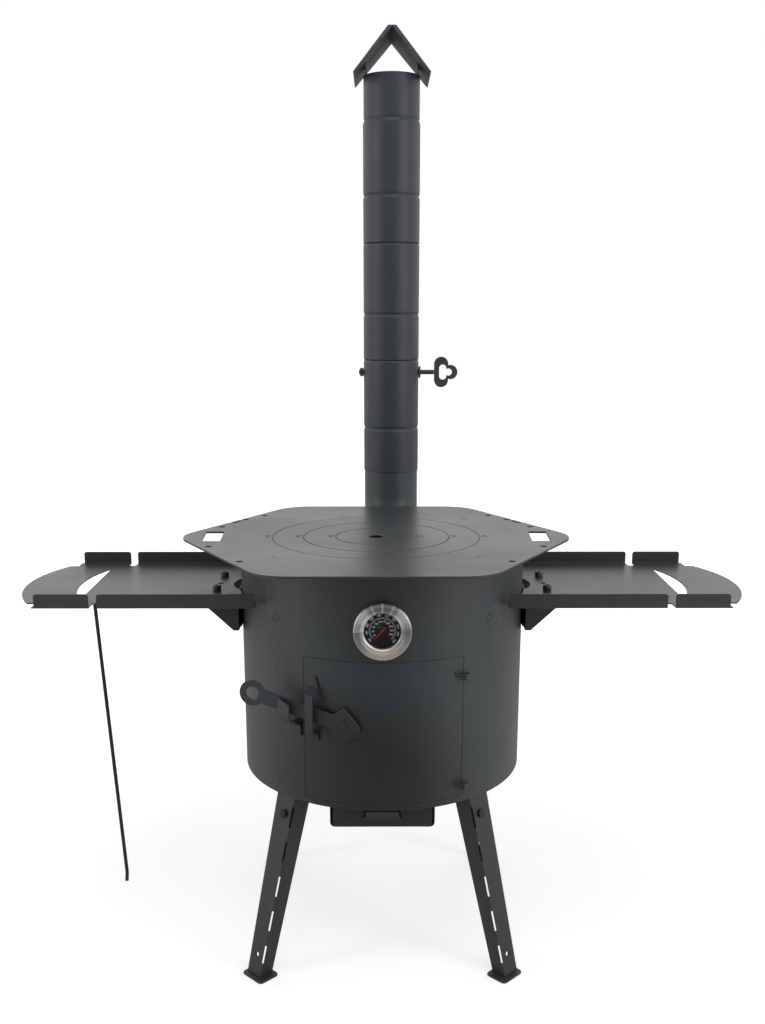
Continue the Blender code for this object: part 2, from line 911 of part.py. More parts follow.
def thermometer():
    frame = pivot("gauge_frame", (0, -drum_radius - weld_gap, gauge_height))
    frame.rotation_euler.x = radians(90)
    front = gauge_depth
    step = front - gauge_step_drop
    window = front - gauge_window_drop
    bezel_side = gauge_bezel_back + gauge_bezel_flare
    case_profile = [
        (gauge_bezel_radius - gauge_rim_inset, front - gauge_step_drop / 2),
        (gauge_bezel_radius, gauge_bezel_shoulder),
        (gauge_bezel_radius, bezel_side),
        (gauge_case_radius, gauge_bezel_back),
        (gauge_case_radius, 0),
        (probe_radius + weld_gap, 0),
        (probe_radius + weld_gap, gauge_floor),
        (gauge_window_radius, gauge_floor),
        (gauge_window_radius, window),
        (gauge_step_radius, step),
        (gauge_step_radius + gauge_rim_inset / 2, front),
    ]
    case = place(lathe("gauge_case", case_profile, gauge_segments), frame)
    finish(case, stainless, 0.25, 1.0)
    inside = gauge_window_radius - dial_rim_gap
    dial_low = gauge_floor + weld_gap
    dial_mesh = moved(
        flat([circle((0, 0), inside, gauge_segments)], dial_thickness), (0, 0, dial_low + dial_thickness / 2)
    )
    finish(place(solid("gauge_dial", dial_mesh), frame), (0.015, 0.015, 0.016), 0.5, 0.0)
    pointer_low = dial_low + dial_thickness + pointer_gap
    needle = moved(
        flat([pointer_outline()], pointer_thickness), (0, 0, pointer_low + pointer_thickness / 2)
    )
    spun(needle, pointer_rest, "Z")
    finish(place(solid("gauge_pointer", needle), frame), (0.65, 0.03, 0.02), 0.4, 0.0)
    glass_low = window - glass_thickness
    glass_mesh = moved(
        flat([circle((0, 0), inside, gauge_segments)], glass_thickness),
        (0, 0, glass_low + glass_thickness / 2),
    )
    finish(place(solid("gauge_glass", glass_mesh, smooth=True), frame), (0.9, 0.92, 0.92), 0.05, 0.0)
    probe = solid("gauge_probe", rod(probe_radius, (0, 0, gauge_floor), (0, 0, -probe_length), 20))
    place(probe, frame)
    nut_face = -drum_sheet - sagitta(drum_radius - drum_sheet, probe_nut_half) - 2 * weld_gap
    nut = flat([circle((0, 0), probe_nut_half / cos(pi / 6), 6)], probe_nut_height)
    carve(probe, moved(nut, (0, 0, nut_face - probe_nut_height / 2)), "UNION")
    finish(probe, stainless, 0.35, 1.0)


def sagitta(radius, half_chord):
    """How far a circle falls away from its tangent over half a chord."""
    return radius - sqrt(radius**2 - half_chord**2)


def pointer_outline():
    """A needle along +X with a tail and a round hub."""
    hub = [
        (x, y) for x, y in arc((0, 0), pointer_hub, 30, 150, 5)
    ]
    tail = [(-pointer_tail, pointer_half_width), (-pointer_tail, -pointer_half_width)]
    under = arc((0, 0), pointer_hub, 210, 330, 5)
    tip = [(pointer_length, -pointer_half_width / 4), (pointer_length, pointer_half_width / 4)]
    return hub + tail + under + tip


# Hob plate and cooking rings


def hob_outline():
    corners = [
        (hob_reach * cos(radians(60 * index)), hob_reach * sin(radians(60 * index))) for index in range(6)
    ]
    return rounded(corners, hob_corner, 8)


def edge_frames():
    """Middle, direction and inward direction of each slanted edge, rear ones first."""
    frames = []
    for angle in (30, 150, 210, 330):
        inward = -Vector((cos(radians(angle)), sin(radians(angle))))
        middle = -inward * hob_apothem
        along = Vector((-inward.y, inward.x))
        if along.y < 0:
            along.negate()
        frames.append((middle, along, inward))
    return frames


def hob_holes():
    loops = []
    for middle, along, inward in edge_frames():
        for side in (-1, 1):
            centre = middle + inward * hob_hole_inset + along * side * hob_hole_spread
            loops.append(circle(tuple(centre), hob_hole_radius, 12))
    for side in (-1, 1):
        outer = side * hand_slot_outer
        inner = side * (hand_slot_outer - hand_slot_width)
        back_outer = side * (hand_slot_outer + hand_slot_taper)
        back_inner = side * (hand_slot_outer - hand_slot_width + hand_slot_taper)
        loops.append(
            [
                (outer, -hand_slot_half_length),
                (inner, -hand_slot_half_length),
                (back_inner, hand_slot_half_length),
                (back_outer, hand_slot_half_length),
            ]
        )
    return loops


def hook_slots():
    """L-shaped slots, open at the slanted rear edges, that hook accessories on."""
    cutters_made = []
    for middle, along, inward in edge_frames()[:2]:
        for start, length in zip(hook_slot_starts, hook_slot_lengths):
            begin = middle + along * start
            slot_a = begin + inward * (hook_slot_inset - hook_slot_width / 2)
            slot_b = slot_a + along * length
            slot_c = slot_b + inward * hook_slot_width
            slot_d = begin + inward * (hook_slot_inset + hook_slot_width / 2)
            nick_out = begin - inward * cut_over
            outline = [
                nick_out,
                nick_out + along * hook_nick_width,
                slot_a + along * hook_nick_width,
                slot_b,
                slot_c,
                slot_d,
            ]
            cutters_made.append(flat([[tuple(point) for point in outline]], hob_thickness + 2 * cut_over))
    return merged(cutters_made)


def lugged_circle(radius, lug_radius, segments):
    """A circle with a round lug at its left and right."""
    centre = radius + ring_lug_out
    meet = degrees(acos((radius**2 + centre**2 - lug_radius**2) / (2 * radius * centre)))
    half_lug = 180 - degrees(acos((lug_radius**2 + centre**2 - radius**2) / (2 * lug_radius * centre)))
    points = []
    for side in (0, 180):
        turn = radians(side)
        lug = (centre * cos(turn), centre * sin(turn))
        points += arc(lug, lug_radius, side - half_lug, side + half_lug, 8)
        points += arc((0, 0), radius, side + meet, side + 180 - meet, segments // 2)[1:-1]
    return points


def locating_tabs():
    """Outlines of the four short tabs that centre the plate inside the drum's rim."""
    inner = locating_tab_radius - locating_tab_sheet / 2
    half_angle = locating_tab_angle / 2
    return [
        sector(inner, inner + locating_tab_sheet, bearing - half_angle, bearing + half_angle, 4)
        for bearing in locating_tab_bearings
    ]


def hob_and_rings():
    full = hob_thickness
    half = hob_thickness / 2
    hob_origin = (hob_side_offset, 0, hob_underside + half)
    plate_pivot = pivot("hob_frame", hob_origin)
    under_hole = circle((0, 0), ring_radii[0] - ring_rebate, ring_segments[0])
    plate = solid("hob_plate", flat([hob_outline(), under_hole] + hob_holes(), full))
    place(plate, plate_pivot)
    hanging = [slab(tab, -half - locating_tab_depth, 0) for tab in locating_tabs()]
    carve(plate, merged(hanging), "UNION")
    carve(plate, hook_slots())
    upper_pocket = flat([lugged_circle(ring_radii[0], ring_lug_radius, ring_segments[0])], half + cut_over)
    carve(plate, moved(upper_pocket, (0, 0, (half + cut_over) / 2)))
    coat(plate, plate_coat)
    names = ("cooking_ring_outer", "cooking_ring_middle", "cooking_ring_inner")
    for index, name in enumerate(names):
        ring_frame = pivot(name + "_frame", hob_origin)
        outer = ring_radii[index] - ring_kerf
        segments = ring_segments[index]
        outline = lugged_circle(outer, ring_lug_radius - ring_kerf, segments)
        if index + 1 < len(names):
            hole = circle((0, 0), ring_radii[index + 1] - ring_rebate, ring_segments[index + 1])
        else:
            hole = circle((0, 0), lift_hole_radius, 24)
        ring = place(solid(name, flat([outline, hole], full)), ring_frame)
        seat = circle((0, 0), outer - ring_rebate, segments)
        beyond = circle((0, 0), outer + ring_lug_radius + ring_lug_out + cut_over, segments)
        under = flat([beyond, seat], half + cut_over)
        carve(ring, moved(under, (0, 0, weld_gap - (half + cut_over) / 2)))
        if index + 1 < len(names):
            pocket = lugged_circle(ring_radii[index + 1], ring_lug_radius, ring_segments[index + 1])
            carve(ring, moved(flat([pocket], half + cut_over), (0, 0, (half + cut_over) / 2)))
        coat(ring, plate_coat)


# Ash drawer


def tray_block(half_width, front, rear, low, high):
    """A block along Y whose two lower edges are rounded."""
    corners = [(-half_width, low), (half_width, low), (half_width, high), (-half_width, high)]
    outline = rounded(corners, [drawer_corner, drawer_corner, 0, 0], 4)
    return moved(upright(flat([outline], rear - front)), (0, (front + rear) / 2, 0))


def ash_drawer():
    front_back = drawer_front_y + drawer_sheet
    rear = drawer_front_y + drawer_length
    tray_low = drawer_bottom + housing_sheet + weld_gap
    tray_high = tray_low + drawer_tray_height
    tray = tray_block(drawer_half_width, drawer_front_y, rear, tray_low, tray_high)
    drawer = hang(solid("ash_drawer", tray), drawer_frame)
    front_high = drum_bottom - slide_gap
    front = tray_block(drawer_half_width, drawer_front_y, front_back, tray_low, front_high)
    carve(drawer, front, "UNION")
    inside = tray_block(
        drawer_half_width - drawer_sheet,
        front_back,
        rear - drawer_sheet,
        tray_low + drawer_sheet,
        tray_high + cut_over,
    )
    carve(drawer, inside)
    lip_top = drum_bottom - slide_gap - lip_top_drop
    window = block_between(
        (-lip_half_width, drawer_front_y - cut_over, lip_top - lip_height),
        (lip_half_width, front_back + cut_over, lip_top),
    )
    carve(drawer, window)
    root_y = drawer_front_y + drawer_sheet / 2
    lip_rows = [
        [(-half, y, z), (half, y, z)]
        for half, y, z in (
            (lip_half_width + drawer_sheet, root_y, lip_top - lip_height - drawer_sheet),
            (lip_half_width - lip_side_gap, drawer_front_y - lip_stand_off / 2, lip_top - lip_height / 2),
            (lip_half_width - lip_side_gap, drawer_front_y - lip_stand_off, lip_top),
        )
    ]
    carve(drawer, baked(sheet(lip_rows, drawer_sheet, (0, -1, 0))), "UNION")
    coat(drawer)


def drawer_housing():
    """A folded channel under the floor that the drawer slides in."""
    outer = drawer_half_width + housing_side_gap + housing_sheet
    top = floor_underside - weld_gap
    corners = [(-outer, top), (-outer, drawer_bottom), (outer, drawer_bottom), (outer, top)]
    profile = rounded(corners, [0, housing_bend, housing_bend, 0], 4)
    front = drawer_front_y + drawer_sheet
    rear = drawer_front_y + drawer_length + housing_side_gap
    rows = [[(x, y, z) for x, z in profile] for y in (front, rear)]
    skin = sheet(rows, housing_sheet, (0, 0, -1))
    coat(place(solid("drawer_housing", baked(skin))), black_steel)


# Legs


def leg_fold(height):
    """Where the fold of the front right leg is at this height, as positive x and y."""
    share = height / drum_bottom
    x = foot_spread + (leg_top_x - foot_spread) * share
    y = foot_spread + leg_fold_forward
    return x, y + (leg_top_y - y) * share


def leg_width(foot, top, height):
    return foot + (top - foot) * height / drum_bottom


def leg_point(side_x, side_y, height, outer=0.0, inner=0.0, inset=0.0):
    """A point on a leg's outside skin, out from the fold along one face, or inset from both."""
    x, y = leg_fold(height)
    slant = sqrt(0.5)
    lean = Vector(
        (
            leg_fold(0)[0] - leg_fold(drum_bottom)[0],
            leg_fold(0)[1] - leg_fold(drum_bottom)[1],
            -drum_bottom,
        )
    ).normalized()
    outer_normal = lean.cross(Vector((slant, -slant, 0))).normalized()
    inner_normal = lean.cross(Vector((-slant, -slant, 0))).normalized()
    shift = Vector((0, 0))
    if inset:
        pair = Matrix(((outer_normal.x, outer_normal.y), (inner_normal.x, inner_normal.y)))
        goal = Vector(
            (
                -inset if outer_normal.y > 0 else inset,
                -inset if inner_normal.y > 0 else inset,
            )
        )
        shift = pair.inverted() @ goal
    x += shift.x + slant * (outer - inner)
    y += shift.y - slant * (outer + inner)
    return Vector((side_x * x, side_y * y, height))


def leg_face_normal(side_x, side_y):
    """The outward normal of a leg's outer face."""
    corner = leg_point(side_x, side_y, 0)
    up = leg_point(side_x, side_y, drum_bottom) - corner
    across = leg_point(side_x, side_y, 0, outer=leg_outer_foot) - corner
    normal = up.cross(across).normalized()
    return normal if normal.x * side_x > 0 else -normal


def v_sheet(side_x, side_y, low, high, thickness, inset=0.0, trim=0.0):
    """A V-folded plate that follows a leg, between two heights."""
    rows = []
    for height in (low, high):
        outer = leg_width(leg_outer_foot, leg_outer_top, height) - trim
        inner = leg_width(leg_inner_foot, leg_inner_top, height) - trim
        rows.append(
            [
                leg_point(side_x, side_y, height, outer=outer, inset=inset),
                leg_point(side_x, side_y, height, inset=inset),
                leg_point(side_x, side_y, height, inner=inner, inset=inset),
            ]
        )
    return baked(sheet(rows, thickness, (0, side_y, 0)))


def leg_set(name, side_x, side_y):
    foot_top = foot_plate_thickness
    reach = foot_spread + hob_reach
    leg = solid("leg_" + name, v_sheet(side_x, side_y, -cut_over, floor_underside + cut_over, leg_sheet))
    place(leg)
    trim_low = foot_top + weld_gap
    trim_high = floor_underside - weld_gap
    carve(leg, block_between((-reach, -reach, trim_low), (reach, reach, trim_high)), "INTERSECT")
    fold_low = leg_point(side_x, side_y, 0)
    fold_high = leg_point(side_x, side_y, drum_bottom)
    along = (fold_high - fold_low).normalized()
    across = Vector((0, 1, 0)).cross(along).normalized()
    lean = Matrix((across, along.cross(across), along)).transposed().to_4x4()
    tools = []
    for index in range(leg_slit_count):
        height = drum_bottom - leg_slit_first_drop - index * leg_slit_pitch
        slit = block((leg_slit_width, 4 * leg_sheet, leg_slit_length), (0, 0, 0))
        slit.transform(Matrix.Translation(leg_point(side_x, side_y, height)) @ lean)
        tools.append(slit)
    normal = leg_face_normal(side_x, side_y)
    hole_at = leg_point(side_x, side_y, leg_hole_height, outer=leg_hole_offset)
    over = normal * (leg_sheet + cut_over)
    tools.append(rod(leg_hole_radius, hole_at - over, hole_at + over, 12))
    bolt_at = leg_point(side_x, side_y, drum_bottom - leg_bolt_drop, outer=leg_bolt_offset)
    tools.append(rod(bolt_radius + pin_gap, bolt_at - over, bolt_at + over, 16))
    carve(leg, merged(tools))
    coat(leg)

    inset = leg_sheet + weld_gap
    shape = v_sheet(
        side_x,
        side_y,
        drum_bottom - bracket_drop,
        floor_underside + cut_over,
        leg_sheet,
        inset,
        bracket_trim,
    )
    bracket = place(solid("leg_bracket_" + name, shape))
    carve(bracket, block_between((-reach, -reach, 0), (reach, reach, trim_high)), "INTERSECT")
    through = normal * 2 * (leg_sheet + cut_over)
    carve(bracket, rod(bolt_radius + pin_gap, bolt_at - through, bolt_at + through, 16))
    coat(bracket, black_steel)

    head_face = bolt_at + normal * weld_gap
    nut_face = bolt_at - normal * (2 * leg_sheet + 3 * weld_gap)
    shank_end = nut_face - normal * (bolt_nut_height + bolt_tail)
    shank_start = head_face + normal * bolt_head_height / 2
    bolt = place(solid("leg_bolt_" + name, rod(bolt_radius, shank_start, shank_end, 16)))
    carve(bolt, rod(bolt_head_radius, head_face, head_face + normal * bolt_head_height, 20), "UNION")
    carve(bolt, rod(bolt_head_radius, nut_face, nut_face - normal * bolt_nut_height, 6), "UNION")
    finish(bolt, black_steel, 0.45, 0.6)

    outline = rounded(rectangle(foot_plate_long / 2, foot_plate_wide / 2), foot_plate_corner, 4)
    plate = moved(flat([outline], foot_plate_thickness), (0, 0, foot_plate_thickness / 2))
    foot = solid("foot_plate_" + name, plate)
    turn = -45 * side_x * side_y
    place(foot, root, (side_x * foot_spread, side_y * foot_spread, 0), turn)
    coat(foot)


# Side shelves


def shelf_outline():
    """The tray of the right shelf: drum side, tool notches, rounded end and its two strips."""
    inner_radius = drum_radius + shelf_drum_gap
    finger_angle = degrees(asin(shelf_finger_half / inner_radius))
    side_angle = degrees(acos(shelf_flange_inner / inner_radius))
    half = shelf_half_depth
    finger_start = inner_radius * cos(radians(finger_angle))
    bulge = inner_radius + shelf_finger_depth - finger_start
    notch_radius = (shelf_gap_outer - shelf_gap_inner) / 2
    notch_x = (shelf_gap_outer + shelf_gap_inner) / 2
    notch_y = half - shelf_gap_depth + notch_radius
    end_angle = degrees(atan2(shelf_end_half, sqrt(shelf_end_radius**2 - shelf_end_half**2)))
    slit_y = shelf_end_half + shelf_slit_width
    front = arc((0, 0), inner_radius, -side_angle, -finger_angle, 6)
    finger_radius = (shelf_finger_half**2 + bulge**2) / (2 * bulge)
    finger_turn = degrees(atan2(shelf_finger_half, finger_radius - bulge))
    finger = arc((finger_start + bulge - finger_radius, 0), finger_radius, -finger_turn, finger_turn, 14)
    outer_arc = arc(
        (shelf_reach - shelf_end_radius, 0), shelf_end_radius, end_angle, -end_angle, 16
    )
    lower_notch = arc((notch_x, -notch_y), notch_radius, 0, 180, 8)
    upper_notch = arc((notch_x, notch_y), notch_radius, 180, 360, 8)
    lower_corner = [(shelf_flange_inner, -half)]
    upper_side = [(x, -y) for x, y in reversed(front)]
    points = front + finger + upper_side + [(shelf_flange_inner, half)]
    points += [(shelf_gap_inner, half)] + upper_notch + [(shelf_gap_outer, half)]
    points += [(shelf_strip_reach, half), (shelf_strip_reach, slit_y), (shelf_slit_inner, slit_y)]
    points += [(shelf_slit_inner, shelf_end_half)]
    points += outer_arc
    points += [(shelf_slit_inner, -shelf_end_half), (shelf_slit_inner, -slit_y)]
    points += [(shelf_strip_reach, -slit_y), (shelf_strip_reach, -half)]
    points += [(shelf_gap_outer, -half)] + lower_notch + [(shelf_gap_inner, -half)]
    points += lower_corner
    return without_repeats(points)


def without_repeats(points):
    kept = []
    for point in points:
        if not kept or (Vector(point) - Vector(kept[-1])).length > weld_gap / 10:
            kept.append(point)
    if (Vector(kept[0]) - Vector(kept[-1])).length <= weld_gap / 10:
        kept.pop()
    return kept


def crescent():
    """The slot near the shelf's end: a straight side and a bulging one."""
    radius = (crescent_half**2 + crescent_bulge**2) / (2 * crescent_bulge)
    angle = degrees(atan2(crescent_half, radius - crescent_bulge))
    centre = (crescent_inner + crescent_bulge - radius, 0)
    return arc(centre, radius, -angle, angle, 12)


def mirrored(points, side):
    return [(side * x, y) for x, y in points]


def shelf(name, side):
    middle = shelf_height - shelf_sheet / 2
    loops = [shelf_outline(), crescent()]
    for y in (-shelf_screw_y, 0, shelf_screw_y):
        loops.append(circle((shelf_screw_x, y), shelf_hole_radius, 16))
    face = flat([mirrored(loop, side) for loop in loops], shelf_sheet)
    tray = solid("shelf_tray_" + name, moved(face, (0, 0, middle)))
    place(tray)
    for end in (-1, 1):
        centre = end * (shelf_half_depth - shelf_sheet / 2)
        top = shelf_underside + shelf_flange
        for near, far in ((shelf_flange_inner, shelf_gap_inner), (shelf_gap_outer, shelf_flange_end)):
            corners = [(near, shelf_underside), (far, shelf_underside), (far, top), (near, top)]
            outline = rounded(corners, [0, 0, shelf_flange_corner, shelf_flange_corner], 4)
            flange = upright(flat([mirrored(outline, side)], shelf_sheet))
            carve(tray, moved(flange, (0, centre, 0)), "UNION")
    coat(tray, plate_coat)


def shelf_bracket(name, side):
    high = shelf_underside - weld_gap
    low = high - bracket_height
    back = drum_radius + weld_gap
    width = bracket_half_width
    plate = solid(
        "shelf_bracket_" + name,
        block_between(*ordered((side * back, -width, low), (side * (back + bracket_sheet), width, high))),
    )
    place(plate)
    gusset = [
        (side * (back + bracket_sheet / 2), low),
        (side * (back + bracket_sheet + bracket_toe), low),
        (side * bracket_reach, high - bracket_toe),
        (side * bracket_reach, high),
        (side * (back + bracket_sheet / 2), high),
    ]
    for end in (-1, 1):
        y = end * (width - bracket_sheet / 2)
        carve(plate, moved(upright(flat([gusset], bracket_sheet)), (0, y, 0)), "UNION")
    top = block_between(
        *ordered(
            (side * bracket_top_start, -width, high - bracket_sheet),
            (side * bracket_reach, width, high),
        )
    )
    carve(plate, top, "UNION")
    for y in (-shelf_screw_y, shelf_screw_y):
        at = side * shelf_screw_x
        hole = rod(screw_radius + pin_gap, (at, y, high + cut_over), (at, y, high - 2 * cut_over), 16)
        carve(plate, hole)
    coat(plate, black_steel)


def ordered(first, second):
    low = [min(a, b) for a, b in zip(first, second)]
    high = [max(a, b) for a, b in zip(first, second)]
    return low, high


def shelf_screws(name, side):
    under = shelf_underside - weld_gap - bracket_sheet - weld_gap
    head_low = shelf_height + weld_gap
    for place_name, y in (("front", -shelf_screw_y), ("back", shelf_screw_y)):
        at = Vector((side * shelf_screw_x, y, 0))
        base = under - screw_nut_height - screw_tail
        shank = rod(screw_radius, at + up(base), at + up(head_low + screw_head_height / 2), 16)
        screw = place(solid("shelf_screw_" + name + "_" + place_name, shank))
        head = rod(screw_head_radius, at + up(head_low), at + up(head_low + screw_head_height), 24)
        carve(screw, head, "UNION")
        nut = rod(screw_nut_radius, at + up(under - screw_nut_height), at + up(under), 6)
        carve(screw, nut, "UNION")
        socket_low = head_low + screw_head_height - screw_socket_depth
        above = at + up(head_low + screw_head_height + cut_over)
        socket = rod(screw_socket_radius, at + up(socket_low), above, 6)
        carve(screw, socket)
        finish(screw, black_steel, 0.4, 0.7)


def up(height):
    return Vector((0, 0, height))


# Chimney


def elbow_height():
    """Height of the flue hole's centre in the drum's back wall."""
    return pipe_base_height - elbow_insertion / 2 - elbow_straight() - elbow_bend_radius


def elbow_straight():
    """The elbow's upright stretch below the lowest pipe."""
    return elbow_insertion / 2


def flue_elbow():
    start_y = drum_radius - drum_sheet - elbow_inside_reach
    bend_y = flue_distance - elbow_bend_radius
    bottom = elbow_height()
    points = [(flue_side_offset, start_y, bottom)]
    for step in range(elbow_steps + 1):
        angle = radians(90 * step / elbow_steps)
        y = bend_y + elbow_bend_radius * sin(angle)
        points.append((flue_side_offset, y, bottom + elbow_bend_radius * (1 - cos(angle))))
    points.append((flue_side_offset, flue_distance, pipe_base_height + elbow_insertion))
    data = bpy.data.curves.new("elbow", "CURVE")
    data.dimensions = "3D"
    data.bevel_depth = neck_radius
    data.bevel_resolution = elbow_sides_share
    spline = data.splines.new("POLY")
    spline.points.add(len(points) - 1)
    for point, place_at in zip(spline.points, points):
        point.co = (*place_at, 1)
    skin = bpy.data.objects.new("skin", solid_from_curve(data))
    thicken = skin.modifiers.new("thickness", "SOLIDIFY")
    thicken.thickness = pipe_sheet
    thicken.offset = -1
    elbow = solid("flue_elbow", baked(skin), smooth=True)
    coat(place(elbow))


def pipe_profile():
    """A chimney pipe from its base at z = 0: body with two beads, and a neck for the next pipe."""
    body = pipe_radius
    low_bead = pipe_bead_from_end + 2 * pipe_bead_half
    high_bead = pipe_length - pipe_bead_from_end
    outer = [
        (neck_radius, pipe_length),
        (neck_radius, high_bead + pipe_bead_half),
        (body - pipe_bead_depth - pipe_sheet, high_bead + pipe_bead_half / 2),
        (body, high_bead - pipe_bead_half),
        (body, low_bead + pipe_bead_half),
        (body - pipe_bead_depth, low_bead),
        (body, low_bead - pipe_bead_half),
        (body, 0),
    ]
    inner = [(radius - pipe_sheet, height) for radius, height in reversed(outer)]
    return outer + inner


def chimney():
    for index, name in enumerate(("lower", "middle", "upper")):
        pipe = lathe("chimney_pipe_" + name, pipe_profile(), pipe_segments)
        height = pipe_base_height + index * pipe_pitch
        place(pipe, root, (flue_side_offset, flue_distance, height))
        if name == "lower":
            reach = pipe_radius + cut_over
            level = damper_height - height
            carve(pipe, rod(spindle_radius + pin_gap, (-reach, 0, level), (reach, 0, level), 16))
        coat(pipe)


def damper():
    reach = pipe_radius + weld_gap
    left_end = -reach - spindle_nut_height - weld_gap - spindle_tail
    rod_mesh = rod(spindle_radius, (left_end, 0, 0), (spindle_right_reach, 0, 0), 16)
    finish(place(solid("damper_spindle", rod_mesh), damper_pivot), black_steel, 0.4, 0.7)
    bore = circle((0, 0), spindle_radius + weld_gap, 16)
    nut = spun(flat([circle((0, 0), spindle_nut_half, 6), bore], spindle_nut_height), 90, "Y")
    nut = moved(nut, (-reach - spindle_nut_height / 2, 0, 0))
    finish(place(solid("damper_nut", nut), damper_pivot), black_steel, 0.4, 0.7)
    washer = spun(flat([circle((0, 0), washer_radius, 24), bore], washer_thickness), 90, "Y")
    washer = moved(washer, (reach + washer_thickness / 2, 0, 0))
    finish(place(solid("damper_washer", washer), damper_pivot), black_steel, 0.4, 0.7)
    disc_y = spindle_radius + weld_gap
    disc = rod(damper_disc_radius, (0, disc_y, 0), (0, disc_y + damper_disc_thickness, 0), 40)
    coat(place(solid("damper_disc", disc, smooth=False), damper_pivot), black_steel)
    key_x = spindle_right_reach + weld_gap + key_lobe_radius
    key = solid("damper_key", upright(flat([key_outline()], key_thickness)))
    place(key, damper_pivot, (key_x, 0, 0))
    carve(key, upright(flat([key_window()], key_thickness + 2 * cut_over)))
    coat(key, black_steel)


def trefoil(near_x, spread, far_x, radius, steps):
    """The outline round three equal round lobes: one below, one to the right and one above."""
    lower = Vector((near_x, -spread))
    side = Vector((far_x, 0))
    crossing = circles_meet(lower, side, radius)
    from_lower = crossing - lower
    from_side = crossing - side
    last = degrees(atan2(from_lower.y, from_lower.x))
    first = degrees(atan2(from_side.y, from_side.x))
    below = arc(tuple(lower), radius, -180, last, steps)
    right = arc(tuple(side), radius, first, -first, steps)[1:-1]
    return below + right + [(x, -y) for x, y in reversed(below)]


def circles_meet(first, second, radius):
    """The outer point where two equal circles cross."""
    middle = (first + second) / 2
    apart = second - first
    rise = sqrt(radius**2 - apart.length_squared / 4)
    return middle + Vector((apart.y, -apart.x)).normalized() * rise


def key_outline():
    return trefoil(0, key_lobe_spread, key_far_lobe, key_lobe_radius, 12)


def key_window():
    return trefoil(key_window_near, key_window_spread, key_window_far, key_window_radius, 8)


# Rain cap, built round the top pipe's axis with the rim at z = 0


def rain_cap():
    ridge = (cap_ridge_half, cap_rise)
    eave = (cap_eave_reach, -cap_eave_drop)
    slope = (ridge[1] - eave[1]) / (eave[0] - ridge[0])
    profile = [(-eave[0], eave[1]), (-ridge[0], ridge[1]), ridge, eave]
    rows = [[(x, -cap_half_length, z), (x, cap_half_length, z)] for x, z in profile]
    mesh = baked(sheet(rows, cap_sheet, (0, 0, 1)))
    cap = solid("rain_cap", mesh)
    place(cap, root, (flue_side_offset, flue_distance, flue_top + weld_gap))
    bore = neck_radius - pipe_sheet
    tab_outer = sqrt(bore**2 - cap_tab_half**2) - 2 * weld_gap
    tab_inner = tab_outer - cap_sheet
    arm_at_tab = ridge[1] - (tab_inner - ridge[0]) * slope - cap_sheet
    for side in (-1, 1):
        shoulder = block_between(
            *ordered(
                (side * tab_inner, -cap_shoulder_half, 0), (side * tab_outer, cap_shoulder_half, arm_at_tab)
            )
        )
        carve(cap, shoulder, "UNION")
        tab = block_between(
            *ordered(
                (side * tab_inner, -cap_tab_half, -cap_tab_insertion),
                (side * tab_outer, cap_tab_half, arm_at_tab / 2),
            )
        )
        carve(cap, tab, "UNION")
    coat(cap)


# Poker


def poker():
    """A bar that hangs by its bent top from the left shelf's front tool notch."""
    arm_height = weld_gap + poker_radius
    bend = poker_bend
    points = [(poker_arm, 0, arm_height)]
    lean = radians(poker_lean)
    down = Vector((sin(lean), 0, -cos(lean)))
    start = Vector((bend, 0, arm_height))
    centre = start - Vector((0, 0, bend))
    for step in range(poker_bend_steps + 1):
        turn = radians(90) + (radians(90) + lean) * step / poker_bend_steps
        points.append((centre.x + bend * cos(turn), 0, centre.z + bend * sin(turn)))
    foot = Vector(points[-1]) + down * poker_length
    points.append(tuple(foot))
    points.append((foot.x + poker_tip * sin(lean) / 2, -poker_tip / 2, foot.z - poker_tip))
    bar = solid("poker", wire(points, poker_radius), smooth=True)
    place(bar, poker_frame)
    finish(bar, black_steel, 0.5, 0.5)


clear_scene()
stove = new_collection("cauldron_stove")
cutters = new_collection("cutters")

root = bpy.data.objects.new("stove_root", None)
stove.objects.link(root)
root.location.y = -(stove_front + stove_back) / 2

door_pivot = pivot("door_pivot", from_bearing(hinge_bearing, drum_radius + hinge_stand_off))
latch_plane = drum_radius + latch_spacer + latch_sheet / 2
latch_at = from_bearing(latch_bearing, latch_plane, latch_pivot_height) - door_pivot.location
latch_pivot = pivot("latch_pivot", latch_at, latch_bearing, door_pivot)
drawer_frame = pivot("drawer_frame", (0, drawer_front_y, drawer_bottom))
damper_pivot = pivot("damper_pivot", (flue_side_offset, flue_distance, damper_height))
poker_x = shelf_gap_inner + poker_notch_gap + poker_radius
poker_frame = pivot("poker_frame", (-poker_x, -shelf_half_depth + poker_front_inset, shelf_height))

firebox_drum()
drum_floor_plate()
fire_grate()
firing_door()
door_stop()
hinges()
latch_lever()
latch_rivet()
guide_strap()
latch_keeper()
thermometer()
hob_and_rings()
ash_drawer()
drawer_housing()
for corner_name, corner_x, corner_y in (
    ("front_left", -1, -1),
    ("front_right", 1, -1),
    ("rear_left", -1, 1),
    ("rear_right", 1, 1),
):
    leg_set(corner_name, corner_x, corner_y)
for shelf_name, shelf_side in (("left", -1), ("right", 1)):
    shelf(shelf_name, shelf_side)
    shelf_bracket(shelf_name, shelf_side)
    shelf_screws(shelf_name, shelf_side)
flue_elbow()
chimney()
damper()
rain_cap()
poker()
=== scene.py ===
"""Looks of the cauldron stove: coated sheet steel, a turned stainless thermometer and a plain studio stage.

Lengths are metres in the stove's own frame: +Z is up, the door faces -Y and the floor is at zero.
"""

from functools import cache
from math import atan2, cos, pi, radians, sin

import bmesh
import bpy
from mathutils import Matrix, Vector


